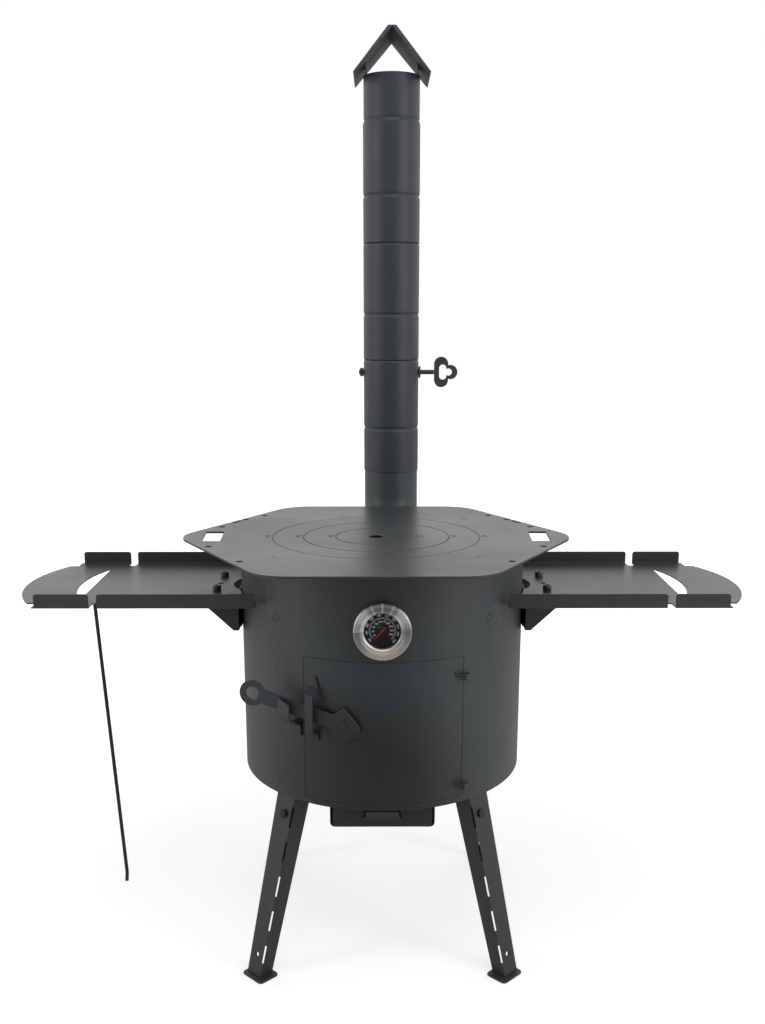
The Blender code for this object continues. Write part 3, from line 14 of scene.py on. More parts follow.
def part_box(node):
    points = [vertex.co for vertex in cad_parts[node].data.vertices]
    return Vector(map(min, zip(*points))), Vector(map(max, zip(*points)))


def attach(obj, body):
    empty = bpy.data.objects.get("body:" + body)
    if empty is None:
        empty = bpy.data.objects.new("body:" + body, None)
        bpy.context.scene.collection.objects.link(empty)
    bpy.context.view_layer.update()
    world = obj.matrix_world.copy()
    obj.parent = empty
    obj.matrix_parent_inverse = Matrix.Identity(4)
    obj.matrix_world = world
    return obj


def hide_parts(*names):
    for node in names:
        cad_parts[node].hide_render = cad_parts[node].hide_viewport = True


bl_info = {
    "name": "Cauldron Stove",
    "version": (1, 0, 0),
    "blender": (4, 5, 0),
    "location": "View3D > Sidebar > Stove",
    "description": "Finishes and fine detail for an outdoor cauldron stove",
    "category": "Object",
}

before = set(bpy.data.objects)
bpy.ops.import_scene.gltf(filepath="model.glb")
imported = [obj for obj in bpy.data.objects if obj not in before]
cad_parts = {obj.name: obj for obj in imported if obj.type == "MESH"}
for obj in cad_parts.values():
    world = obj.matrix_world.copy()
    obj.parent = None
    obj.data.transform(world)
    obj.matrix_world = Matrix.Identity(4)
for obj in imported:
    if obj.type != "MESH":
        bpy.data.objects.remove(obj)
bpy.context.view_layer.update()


def middle(node):
    low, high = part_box(node)
    return (low + high) / 2


drum_low, drum_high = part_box("drum_shell")
drum_centre = middle("drum_shell")
drum_radius = (drum_high.x - drum_low.x) / 2
case_low, case_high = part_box("gauge_case")
gauge_centre = Vector((0, case_high.y, (case_low.z + case_high.z) / 2))
bezel_radius = (case_high.z - case_low.z) / 2


# Sizes and colours that a user would change


def colour_setting(name, description, default):
    return bpy.props.FloatVectorProperty(
        name=name, description=description, subtype="COLOR", default=default, min=0, max=1
    )


def length_setting(name, description, default):
    return bpy.props.FloatProperty(
        name=name, description=description, subtype="DISTANCE", unit="LENGTH", default=default
    )


def angle_setting(name, description, degrees):
    return bpy.props.FloatProperty(
        name=name, description=description, subtype="ANGLE", default=radians(degrees)
    )


class CoatSettings(bpy.types.PropertyGroup):
    """The heat-proof powder coat on every sheet-steel piece."""

    colour: colour_setting("Coat colour", "Colour of the powder coat", (0.027, 0.034, 0.039))
    # The dark colour is also the painted shade round the fire door.
    dark_colour: colour_setting(
        "Dark colour",
        "Colour of the coat round the fire door, and on the drawer and the legs",
        (0.010, 0.013, 0.016),
    )
    flat_colour: colour_setting(
        "Plate colour", "Colour of the coat on the hob, its rings and the shelves", (0.027, 0.032, 0.035)
    )
    roughness: bpy.props.FloatProperty(
        name="Roughness", description="How matt the coat is", subtype="FACTOR", default=0.46, min=0, max=1
    )
    grain: length_setting("Grain size", "Distance between the coat's fine bumps", 0.0009)
    edge: length_setting("Edge rounding", "How far the coat rounds a cut edge of sheet", 0.0004)


class GaugeSettings(bpy.types.PropertyGroup):
    """The thermometer over the door."""

    dial_radius: length_setting("Dial radius", "Radius of the printed dial", 0.0248)
    first_angle: angle_setting("First mark", "Angle of the scale's first mark, counted from the right", 218)
    sweep: angle_setting("Sweep", "Angle between the scale's first and last marks", 260)
    number_size: length_setting("Number size", "Height of the dial's numbers", 0.0027)
    marks: bpy.props.IntProperty(
        name="Small marks", description="Number of small marks round the scale", default=46, min=2
    )


class PipeSettings(bpy.types.PropertyGroup):
    """The chimney's plug-in pipes."""

    low_bead: length_setting("Low groove", "Height of the lower groove over the pipe's base", 0.0755)
    neck: length_setting("Neck", "Length of the narrow neck over the upper groove", 0.070)
    groove: length_setting("Groove depth", "How deep the rolled grooves are", 0.0014)
    wall: length_setting("Wall", "Thickness of the pipe's sheet", 0.0008)


class WeldSettings(bpy.types.PropertyGroup):
    """The weld beads on lugs, keeper, strap and brackets."""

    bead: length_setting("Bead radius", "Radius of a weld bead", 0.0011)
    step: length_setting("Bead step", "Distance between a weld's ripples", 0.0010)


class StageSettings(bpy.types.PropertyGroup):
    """The floor, the lights and the camera."""

    surround: bpy.props.FloatProperty(
        name="Surround", description="Strength of the light from all round", default=1.12, min=0
    )
    lens: bpy.props.FloatProperty(
        name="Lens",
        description="Focal length of the camera",
        subtype="DISTANCE_CAMERA",
        unit="CAMERA",
        default=38.93,
    )


def settings(name):
    return getattr(bpy.context.scene, name)


# Edge rounding of the pieces that don't take the coat's own
ELBOW_EDGE = 0.0002
THIN_EDGE = 0.0003
THICK_EDGE = 0.0005
RING_EDGE = 0.0009


# Node helpers


class Nodes:
    """A node tree and short ways to add to it. An input takes a value or another node's output."""

    def __init__(self, tree):
        self.tree = tree

    def feed(self, socket, value):
        if isinstance(value, bpy.types.NodeSocket):
            self.tree.links.new(value, socket)
        else:
            socket.default_value = value

    def fill(self, node, inputs):
        for key, value in inputs.items():
            self.feed(node.inputs[key], value)

    def add(self, kind, inputs=None, **options):
        """Adds a node, sets its options and feeds its inputs, which go by name or by number."""
        node = self.tree.nodes.new(kind)
        for key, value in options.items():
            setattr(node, key, value)
        self.fill(node, inputs or {})
        return node

    def math(self, operation, *operands):
        return self.add("ShaderNodeMath", dict(enumerate(operands)), operation=operation).outputs[0]

    def times(self, first, second):
        return self.math("MULTIPLY", first, second)

    def reach(self, first, second):
        """The distance that two steps at a right angle cover together."""
        squares = self.math("ADD", self.times(first, first), self.times(second, second))
        return self.math("SQRT", squares)

    def vector(self, **parts):
        return self.add("ShaderNodeCombineXYZ", parts).outputs[0]

    def parts(self, vector):
        return self.add("ShaderNodeSeparateXYZ", {"Vector": vector}).outputs

    def place(self):
        """Each point's place in the piece's own metres."""
        return self.add("ShaderNodeTexCoord").outputs["Object"]

    def noise(self, place_at, scale, detail, roughness=0.5, distortion=0.0):
        inputs = {"Vector": place_at, "Scale": scale, "Detail": detail}
        inputs.update({"Roughness": roughness, "Distortion": distortion})
        return self.add("ShaderNodeTexNoise", inputs).outputs["Fac"]

    def bump(self, height, strength, distance):
        inputs = {"Height": height, "Strength": strength, "Distance": distance}
        return self.add("ShaderNodeBump", inputs).outputs["Normal"]

    def ramp(self, source, stops):
        """A colour ramp from (place, grey or colour) stops."""
        node = self.add("ShaderNodeValToRGB", {"Fac": source})
        elements = node.color_ramp.elements
        while len(elements) < len(stops):
            elements.new(0.5)
        for element, (place_at, colour) in zip(elements, stops):
            element.position = place_at
            if not isinstance(colour, tuple):
                colour = (colour, colour, colour)
            element.color = (*colour, 1)
        return node.outputs["Color"]

    def mixed(self, factor, first, second, blend="MIX"):
        """Mixes two colours; each is a colour or an output."""
        node = self.add("ShaderNodeMix", data_type="RGBA", blend_type=blend)
        sockets = {socket.identifier: socket for socket in (*node.inputs, *node.outputs)}
        for key, value in (("Factor_Float", factor), ("A_Color", first), ("B_Color", second)):
            if isinstance(value, tuple):
                value = (*value, 1)
            self.feed(sockets[key], value)
        return sockets["Result_Color"]


def shared_effect(name, defaults):
    """Makes the function under it add its effect to a material as a group, which is built once."""

    def wrap(build):
        def new_group():
            group = bpy.data.node_groups.new(name, "ShaderNodeTree")
            for title, default in defaults.items():
                socket = group.interface.new_socket(title, in_out="INPUT", socket_type="NodeSocketFloat")
                socket.default_value = default
            nodes = Nodes(group)
            results = build(nodes, nodes.add("NodeGroupInput").outputs)
            for title in results:
                group.interface.new_socket(title, in_out="OUTPUT", socket_type="NodeSocketFloat")
            nodes.add("NodeGroupOutput", results)
            return group

        def place(nodes, values):
            group = bpy.data.node_groups.get(name) or new_group()
            return nodes.add("ShaderNodeGroup", values, node_tree=group).outputs

        return place

    return wrap


@shared_effect("Powder Grain", {"Grain Size": 0.0009})
def powder_grain(nodes, given):
    """Fine bumps of a baked powder coat, with a faint change of tone from place to place."""
    place_at = nodes.place()
    scale = nodes.math("DIVIDE", 1.0, given["Grain Size"])
    fine = nodes.noise(place_at, scale, 3.0, 0.6)
    peel_inputs = {"Vector": place_at, "Scale": nodes.times(scale, 0.45)}
    peel = nodes.add("ShaderNodeTexVoronoi", peel_inputs, feature="SMOOTH_F1").outputs["Distance"]
    speck = nodes.noise(place_at, nodes.times(scale, 1.7), 2.0)
    return {
        "Height": nodes.math("ADD", fine, nodes.times(peel, 0.6)),
        "Speck": nodes.ramp(speck, ((0.3, 0.0), (0.75, 1.0))),
    }


@shared_effect("Handling Marks", {"Scale": 7.0, "Amount": 1.0})
def handling_marks(nodes, given):
    """Soft smudges and faint dust that change a surface's tone and gloss."""
    place_at = nodes.place()
    broad = nodes.noise(place_at, given["Scale"], 4.0, 0.55, 0.6)
    smudge = nodes.ramp(broad, ((0.35, 0.0), (0.7, 1.0)))
    fine = nodes.noise(place_at, nodes.times(given["Scale"], 22.0), 8.0, 0.7)
    dust = nodes.ramp(fine, ((0.62, 0.0), (0.78, 1.0)))
    up = nodes.parts(nodes.add("ShaderNodeNewGeometry").outputs["Normal"])["Z"]
    settled = nodes.times(dust, nodes.math("MAXIMUM", up, 0.15))
    return {
        "Smudge": nodes.times(smudge, given["Amount"]),
        "Dust": nodes.times(settled, given["Amount"]),
    }


@shared_effect("Wear And Highlight Edge", {"Amount": 0.5})
def rubbed_edge(nodes, given):
    """A mask of the outer edges, where handling wears the coat and a painted highlight lightens it."""
    edge = nodes.ramp(nodes.add("ShaderNodeNewGeometry").outputs["Pointiness"], ((0.505, 0.0), (0.56, 1.0)))
    broken = nodes.ramp(nodes.noise(nodes.place(), 60.0, 3.0), ((0.35, 0.25), (0.7, 1.0)))
    return {"Mask": nodes.times(nodes.times(edge, broken), given["Amount"])}


@shared_effect("Soot Inside", {"Centre Y": 0.0, "Radius": 0.2, "Bottom": 0.0, "Top": 1.0})
def soot_inside(nodes, given):
    """A mask of the firebox's inner faces: nearer to the drum's axis than its outer skin."""
    place_at = nodes.place()
    part = nodes.parts(place_at)
    reach = nodes.reach(part["X"], nodes.math("SUBTRACT", part["Y"], given["Centre Y"]))
    inside = nodes.math("LESS_THAN", reach, given["Radius"])
    below = nodes.math("LESS_THAN", part["Z"], given["Top"])
    above = nodes.math("GREATER_THAN", part["Z"], given["Bottom"])
    hidden = nodes.times(inside, nodes.times(below, above))
    patchy = nodes.ramp(nodes.noise(place_at, 14.0, 6.0), ((0.2, 0.55), (0.7, 1.0)))
    return {"Mask": nodes.times(hidden, patchy)}


@shared_effect(
    "Painted Door Shade", {"Across": 0.0, "Up": 0.3, "Half Width": 0.15, "Half Height": 0.15, "Front": 0.0}
)
def heat_shade(nodes, given):
    """A soft mask round the fire door for a painted shade that darkens the coat there."""
    part = nodes.parts(nodes.place())
    front = nodes.math("LESS_THAN", part["Y"], given["Front"])
    across = nodes.math("DIVIDE", nodes.math("SUBTRACT", part["X"], given["Across"]), given["Half Width"])
    up = nodes.math("DIVIDE", nodes.math("SUBTRACT", part["Z"], given["Up"]), given["Half Height"])
    faded = nodes.ramp(nodes.reach(across, up), ((0.45, 1.0), (1.0, 0.0)))
    return {"Mask": nodes.times(faded, front)}


# Materials

DUST = (0.16, 0.155, 0.145)
WEAR_AND_HIGHLIGHT_GREY = (0.085, 0.088, 0.09)
SOOT = (0.012, 0.011, 0.010)


def new_material(name):
    """An empty material with a Principled shader: the material, its nodes and the shader."""
    material = bpy.data.materials.new(name)
    material.use_nodes = True
    return material, Nodes(material.node_tree), material.node_tree.nodes["Principled BSDF"]


def coated_steel(name, colour, roughness, soot=False, edge_wear_and_light=0.35, dust=1.0):
    """Matt powder coat: fine grain, smudges, edges lightened by wear and a painted highlight and, where fire
    reaches, soot and a painted shade round the fire door.
    """
    material, nodes, shader = new_material(name)
    coat = settings("stove_coat")
    grain = powder_grain(nodes, {"Grain Size": coat.grain})
    marks = handling_marks(nodes, {"Scale": 7.0, "Amount": dust})
    edge_wear_and_highlight = rubbed_edge(nodes, {"Amount": edge_wear_and_light})
    light = tuple(channel * 1.28 + 0.002 for channel in colour)
    dark = tuple(channel * 0.86 for channel in colour)
    tone = nodes.mixed(grain["Speck"], dark, light)
    for mask, share, over in (
        (marks["Smudge"], 0.22, light),
        (marks["Dust"], 0.10, DUST),
        # Edges lighten towards grey: wear and a painted highlight
        (edge_wear_and_highlight["Mask"], 0.5, WEAR_AND_HIGHLIGHT_GREY),
    ):
        tone = nodes.mixed(nodes.times(mask, share), tone, over)
    rough = nodes.math("MULTIPLY_ADD", marks["Smudge"], 0.07, roughness)
    rough = nodes.math("MULTIPLY_ADD", grain["Speck"], -0.04, rough)
    if soot:
        clean_skin, clean_rim = 0.0006, 0.001
        firebox = {"Centre Y": drum_centre.y, "Radius": drum_radius - clean_skin}
        firebox.update({"Bottom": drum_low.z, "Top": drum_high.z - clean_rim})
        inside = soot_inside(nodes, firebox)["Mask"]
        # Painted shade round the fire door: the coat darkens towards the dark colour there.
        shade = {"Across": -0.035, "Up": 0.31, "Half Width": 0.20, "Half Height": 0.17}
        door_shade_mask = heat_shade(nodes, {**shade, "Front": drum_centre.y})["Mask"]
        tone = nodes.mixed(door_shade_mask, tone, tuple(coat.dark_colour))
        tone = nodes.mixed(inside, tone, SOOT)
        rough = nodes.math("MULTIPLY_ADD", inside, 0.4, rough)
    normal = nodes.bump(grain["Height"], 0.22, 0.00012)
    nodes.fill(shader, {"Base Color": tone, "Roughness": rough, "Specular IOR Level": 0.70})
    nodes.fill(shader, {"Normal": normal})
    return material


@cache
def body_coat():
    coat = settings("stove_coat")
    return coated_steel("Body coat", coat.colour, coat.roughness, soot=True)


@cache
def dark_coat():
    coat = settings("stove_coat")
    return coated_steel("Dark coat", coat.dark_colour, coat.roughness)


@cache
def plate_coat():
    coat = settings("stove_coat")
    return coated_steel("Plate coat", coat.flat_colour, coat.roughness - 0.09, edge_wear_and_light=0.45)


@cache
def hidden_coat():
    coat = settings("stove_coat")
    return coated_steel("Hidden steel coat", coat.colour, coat.roughness + 0.08, edge_wear_and_light=0.2)


@cache
def fire_iron():
    return coated_steel("Fire-blackened iron", (0.013, 0.013, 0.013), 0.75, edge_wear_and_light=0.1, dust=2.0)


def pipe_coat():
    """The coat's colour on the chimney, a little darker and bluer: a painted shade that tones down the light
    on the chimney.
    """
    coat = settings("stove_coat")
    colour = [channel * share for channel, share in zip(coat.colour, (0.76, 0.77, 0.86))]
    return coated_steel("Chimney coat", colour, coat.roughness + 0.05, edge_wear_and_light=0.2, dust=0.7)


def cap_coat():
    """The coat on the rain cap, paler and more matt than the body coat."""
    coat = settings("stove_coat")
    colour = [channel * 1.6 for channel in coat.colour]
    return coated_steel("Cap coat", colour, coat.roughness + 0.20, edge_wear_and_light=0.2, dust=0.7)


@cache
def black_fastener():
    """Blackened screws and bars: darker, smoother and slightly metallic."""
    material, nodes, shader = new_material("Black fastener")
    grain = powder_grain(nodes, {"Grain Size": 0.0005})
    edge_wear_and_highlight = rubbed_edge(nodes, {"Amount": 0.8})
    tone = nodes.mixed(grain["Speck"], (0.014, 0.015, 0.016), (0.026, 0.027, 0.028))
    nodes.fill(
        shader,
        {
            # Edges lighten towards grey: wear and a painted highlight
            "Base Color": nodes.mixed(edge_wear_and_highlight["Mask"], tone, (0.11, 0.11, 0.11)),
            "Roughness": nodes.math("MULTIPLY_ADD", grain["Speck"], 0.12, 0.33),
            "Metallic": 0.25,
            "Normal": nodes.bump(grain["Height"], 0.12, 0.00006),
        },
    )
    return material


# Painted sheen on the turned face, with a warm painted reflection at the bottom: how bright it looks round
# its axis; place from the left through the bottom, colour
PAINTED_BEZEL_SHEEN = (
    (0.0, 0.34),
    (0.083, 0.45),
    (0.167, (0.74, 0.71, 0.64)),
    (0.25, (0.84, 0.80, 0.71)),
    (0.333, (0.76, 0.73, 0.66)),
    (0.417, 0.56),
    (0.5, 0.32),
    (0.54, 0.62),
    (0.592, 1.0),
    (0.639, 0.88),
    (0.668, 0.32),
    (0.685, 0.78),
    (0.700, 0.32),
    (0.742, 0.32),
    (0.750, 0.95),
    (0.758, 0.32),
    (0.800, 0.32),
    (0.815, 0.80),
    (0.828, 0.34),
    (0.861, 0.88),
    (0.911, 1.0),
    (0.958, 0.66),
)


def turned_stainless():
    """Stainless steel with fine turning lines round the thermometer's axis and a painted sheen that
    brightens and darkens it round the axis.
    """
    material, nodes, shader = new_material("Turned stainless")
    place_at = nodes.place()
    part = nodes.parts(place_at)
    rise = nodes.math("SUBTRACT", part["Z"], gauge_centre.z)
    rings = nodes.vector(X=nodes.reach(part["X"], rise), Y=nodes.times(part["Y"], 0.6))
    lines = nodes.noise(rings, 5200.0, 2.0, 0.7)
    tone = nodes.mixed(lines, (0.74, 0.73, 0.71), (0.98, 0.97, 0.95))
    # Place round the axis for the painted sheen, from the left through the bottom
    turn = nodes.math("MULTIPLY_ADD", nodes.math("ARCTAN2", rise, part["X"]), 0.5 / pi, 0.5)
    rough = nodes.math("MULTIPLY_ADD", lines, 0.16, 0.14)
    tangent = nodes.add("ShaderNodeTangent", direction_type="UV_MAP", uv_map="turning")
    nodes.fill(
        shader,
        {
            # The turning lines' tone times the painted sheen
            "Base Color": nodes.mixed(1.0, tone, nodes.ramp(turn, PAINTED_BEZEL_SHEEN), "MULTIPLY"),
            "Roughness": nodes.math("MULTIPLY_ADD", nodes.noise(place_at, 90.0, 3.0), 0.05, rough),
            "Metallic": 0.55,
            "Anisotropic": 0.75,
            "Tangent": tangent.outputs["Tangent"],
            "Normal": nodes.bump(lines, 0.10, 0.00003),
        },
    )
    return material


def plain_stainless():
    """Drawn stainless steel of the thermometer's stem, with fine lines along it."""
    material, nodes, shader = new_material("Drawn stainless")
    drawn = nodes.add("ShaderNodeMapping", {"Vector": nodes.place(), "Scale": (1.0, 0.05, 1.0)})
    lines = nodes.noise(drawn.outputs[0], 2600.0, 2.0)
    tone = nodes.mixed(lines, (0.42, 0.41, 0.40), (0.62, 0.61, 0.60))
    rough = nodes.math("MULTIPLY_ADD", lines, 0.2, 0.22)
    nodes.fill(shader, {"Base Color": tone, "Roughness": rough, "Metallic": 1.0})
    return material


def printed_colour(name, colour, roughness=0.45):
    """Printing ink on the dial, with a little unevenness."""
    material, nodes, shader = new_material(name)
    uneven = nodes.noise(nodes.place(), 900.0, 3.0)
    tone = nodes.mixed(uneven, tuple(channel * 0.85 for channel in colour), colour)
    rough = nodes.math("MULTIPLY_ADD", uneven, 0.1, roughness)
    nodes.fill(shader, {"Base Color": tone, "Roughness": rough})
    return material


def clear_glass():
    """Thin flat glass with a faint haze in its gloss."""
    material, nodes, shader = new_material("Clear glass")
    haze = nodes.times(nodes.noise(nodes.place(), 120.0, 3.0), 0.02)
    clear = {"Base Color": (0.97, 0.985, 0.98, 1), "IOR": 1.25, "Transmission Weight": 1.0}
    nodes.fill(shader, {**clear, "Roughness": haze})
    return material


# Piece helpers


def linked(name, data):
    obj = bpy.data.objects.new(name, data)
    bpy.context.scene.collection.objects.link(obj)
    return obj


def evaluated_mesh(obj):
    """The object's mesh as its modifiers or its text make it."""
    graph = bpy.context.evaluated_depsgraph_get()
    return bpy.data.meshes.new_from_object(obj.evaluated_get(graph))


def keep(obj, body, nodes=()):
    """A finished piece: it rides on a body and stands for its nodes."""
    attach(obj, body)
    if nodes:
        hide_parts(*nodes)
    return obj


def new_piece(name, mesh, material, smooth=True):
    mesh.name = name
    mesh.materials.clear()
    mesh.materials.append(material)
    mesh.polygons.foreach_set("material_index", [0] * len(mesh.polygons))
    if smooth:
        mesh.polygons.foreach_set("use_smooth", [True] * len(mesh.polygons))
    return linked(name, mesh)


def soften(obj, width):
    """Rounds a piece's sharp edges and keeps its flat faces flat."""
    sharp = radians(28)
    obj.data.set_sharp_from_angle(angle=sharp)
    rounding = obj.modifiers.new("edge rounding", "BEVEL")
    rounding.width = width
    rounding.segments = 2
    rounding.limit_method = "ANGLE"
    rounding.angle_limit = sharp
    rounding.use_clamp_overlap = False
    rounding.harden_normals = False
    flatten = obj.modifiers.new("flat faces", "WEIGHTED_NORMAL")
    flatten.keep_sharp = True
    return obj


def clean(work, join_reach, shortest=0.000002, flat_angle=0.2):
    """Joins the points within this reach and dissolves edges that no shape needs."""
    bmesh.ops.remove_doubles(work, verts=work.verts, dist=join_reach)
    bmesh.ops.dissolve_degenerate(work, edges=work.edges, dist=shortest)
    bmesh.ops.dissolve_limit(
        work, angle_limit=radians(flat_angle), verts=work.verts, edges=work.edges
    )


def finished_mesh(work, name):
    """Turns the faces outward and ends the work as a mesh."""
    bmesh.ops.recalc_face_normals(work, faces=work.faces)
    mesh = bpy.data.meshes.new(name)
    work.to_mesh(mesh)
    work.free()
    return mesh


def merged_copy(node):
    """A node's mesh with its loose triangles joined into one skin."""
    work = bmesh.new()
    work.from_mesh(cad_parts[node].data)
    clean(work, join_reach=0.000004)
    return finished_mesh(work, node)


def dress(node, material, body="stove", edge=None):
    """A node's own shape with its edges rounded by the coat."""
    piece = new_piece(node + "_finished", merged_copy(node), material)
    soften(piece, settings("stove_coat").edge if edge is None else edge)
    return keep(piece, body, (node,))


def loft(work, rows, closed=False):
    """A skin through rows of points, each a loop; its two ends meet or are filled in."""
    rings = [[work.verts.new(point) for point in row] for row in rows]
    pairs = list(zip(rings, rings[1:]))
    if closed:
        pairs.append((rings[-1], rings[0]))
    for ring, following in pairs:
        for index in range(len(ring)):
            after = (index + 1) % len(ring)
            work.faces.new((ring[index], ring[after], following[after], following[index]))
    if not closed:
        work.faces.new(rings[0])
        work.faces.new(rings[-1])


def lofted(name, rows, closed=False):
    work = bmesh.new()
    loft(work, rows, closed)
    return finished_mesh(work, name)


def turned(name, profile, segments, material, sharp_angle=None):
    """A piece turned round the thermometer's axis; the profile is (radius, outward) points."""
    rows = []
    for step in range(segments):
        turn = 2 * pi * step / segments
        across, up = cos(turn), sin(turn)
        rows.append([gauge_centre + Vector((radius * across, -out, radius * up)) for radius, out in profile])
    piece = new_piece(name, lofted(name, rows, closed=True), material)
    if sharp_angle:
        piece.data.set_sharp_from_angle(angle=radians(sharp_angle))
    return piece


def wind_uv(mesh, segments, rows):
    """A UV map on a turned piece whose U runs round the axis."""
    layer = mesh.uv_layers.new(name="turning")
    for face in mesh.polygons:
        corners = [mesh.loops[loop].vertex_index for loop in face.loop_indices]
        steps = [corner // rows for corner in corners]
        wraps = max(steps) - min(steps) > segments / 2
        for loop, corner, step in zip(face.loop_indices, corners, steps):
            if wraps and step < segments / 2:
                step += segments
            layer.data[loop].uv = (step / segments, (corner % rows) / rows)


# Geometry Nodes helpers

SOCKET_KINDS = {
    float: "NodeSocketFloat",
    int: "NodeSocketInt",
    bpy.types.Object: "NodeSocketObject",
    bpy.types.Material: "NodeSocketMaterial",
}


class Recipe(Nodes):
    """A Geometry Nodes tree with named inputs; the last of them is always the material."""

    def __init__(self, name, inputs):
        """The inputs are titles with their defaults, or with a type where nothing can be the default."""
        super().__init__(bpy.data.node_groups.new(name, "GeometryNodeTree"))
        face = self.tree.interface
        face.new_socket("Geometry", in_out="INPUT", socket_type="NodeSocketGeometry")
        self.identifiers = {}
        for title, default in {**inputs, "Material": bpy.types.Material}.items():
            only_type = isinstance(default, type)
            kind = SOCKET_KINDS[default if only_type else type(default)]
            socket = face.new_socket(title, in_out="INPUT", socket_type=kind)
            if not only_type:
                socket.default_value = default
            self.identifiers[title] = socket.identifier
        face.new_socket("Geometry", in_out="OUTPUT", socket_type="NodeSocketGeometry")
        self.given = self.add("NodeGroupInput").outputs

    def step(self, kind, inputs=None, **options):
        """Adds a node and gives its first output."""
        return self.add(kind, inputs, **options).outputs[0]

    def finish(self, geometry):
        """Realizes the instances, shades them smooth, gives them their material and ends the tree."""
        real = self.step("GeometryNodeRealizeInstances", {"Geometry": geometry})
        smooth = self.step("GeometryNodeSetShadeSmooth", {"Geometry": real})
        coloured = {"Geometry": smooth, "Material": self.given["Material"]}
        self.add("NodeGroupOutput", {0: self.step("GeometryNodeSetMaterial", coloured)})
        return self

    def make(self, name, start, values):
        """Runs the tree on a starting mesh and returns the result as a plain mesh object."""
        obj = linked(name, start)
        modifier = obj.modifiers.new("recipe", "NODES")
        modifier.node_group = self.tree
        for title, value in values.items():
            modifier[self.identifiers[title]] = value
        mesh = evaluated_mesh(obj)
        obj.modifiers.remove(modifier)
        obj.data = mesh
        return obj


def points_mesh(points=((0, 0, 0),), axes=None, edges=()):
    """Loose points, each with an axis to point along, or joined into paths."""
    mesh = bpy.data.meshes.new("seats")
    mesh.from_pydata([tuple(point) for point in points], list(edges), [])
    if axes:
        attribute = mesh.attributes.new("axis", "FLOAT_VECTOR", "POINT")
        attribute.data.foreach_set("vector", [value for axis in axes for value in axis])
    return mesh


def seat_recipe():
    """Places one fastener on every seat, turned to the seat's axis."""
    recipe = Recipe("Fasteners On Seats", {"Fastener": bpy.types.Object, "Spin": 0.4})
    given = recipe.given
    shape = recipe.add("GeometryNodeObjectInfo", {"Object": given["Fastener"]})
    axis = recipe.step("GeometryNodeInputNamedAttribute", {"Name": "axis"}, data_type="FLOAT_VECTOR")
    aligned = recipe.step("FunctionNodeAlignRotationToVector", {"Vector": axis}, axis="Z")
    spin = recipe.vector(Z=recipe.times(recipe.step("GeometryNodeInputIndex"), given["Spin"]))
    turn = recipe.step("FunctionNodeEulerToRotation", {"Euler": spin})
    both = recipe.step(
        "FunctionNodeRotateRotation", {"Rotation": aligned, "Rotate By": turn}, rotation_space="LOCAL"
    )
    placed = {"Points": given["Geometry"], "Instance": shape.outputs["Geometry"], "Rotation": both}
    return recipe.finish(recipe.step("GeometryNodeInstanceOnPoints", placed))


def weld_recipe():
    """Lays a rippled bead along every path."""
    recipe = Recipe("Weld Bead Along Path", {"Bead Radius": 0.001, "Step": 0.001, "Seed": 3})
    given = recipe.given
    path = recipe.step("GeometryNodeMeshToCurve", {"Mesh": given["Geometry"]})
    even = recipe.step(
        "GeometryNodeResampleCurve", {"Curve": path, "Length": given["Step"]}, mode="LENGTH"
    )
    drop = recipe.step("GeometryNodeMeshIcoSphere", {"Radius": given["Bead Radius"], "Subdivisions": 2})
    least, most = 0.8, 1.15
    uneven = recipe.add(
        "FunctionNodeRandomValue", {"Seed": given["Seed"], 2: least, 3: most}, data_type="FLOAT"
    )
    placed = {"Points": even, "Instance": drop, "Scale": uneven.outputs[1]}
    return recipe.finish(recipe.step("GeometryNodeInstanceOnPoints", placed))


def dial_recipe():
    """Marks in a fan round the dial's centre, in the XY plane."""
    sizes = {"Radius": 0.02, "Length": 0.002, "Width": 0.0003, "Height": 0.0001}
    recipe = Recipe("Dial Marks", {"Count": 11, **sizes, "First Angle": 3.9, "Sweep": 4.7})
    given = recipe.given
    gaps = recipe.math("SUBTRACT", given["Count"], 1)
    share = recipe.math("DIVIDE", recipe.step("GeometryNodeInputIndex"), gaps)
    angle = recipe.math("SUBTRACT", given["First Angle"], recipe.times(share, given["Sweep"]))
    across = recipe.times(recipe.math("COSINE", angle), given["Radius"])
    along = recipe.times(recipe.math("SINE", angle), given["Radius"])
    spot = recipe.vector(X=across, Y=along)
    seats = recipe.step("GeometryNodePoints", {"Count": given["Count"], "Position": spot})
    size = recipe.vector(X=given["Length"], Y=given["Width"], Z=given["Height"])
    mark = recipe.step("GeometryNodeMeshCube", {"Size": size})
    placed = {"Points": seats, "Instance": mark, "Rotation": recipe.vector(Z=angle)}
    return recipe.finish(recipe.step("GeometryNodeInstanceOnPoints", placed))


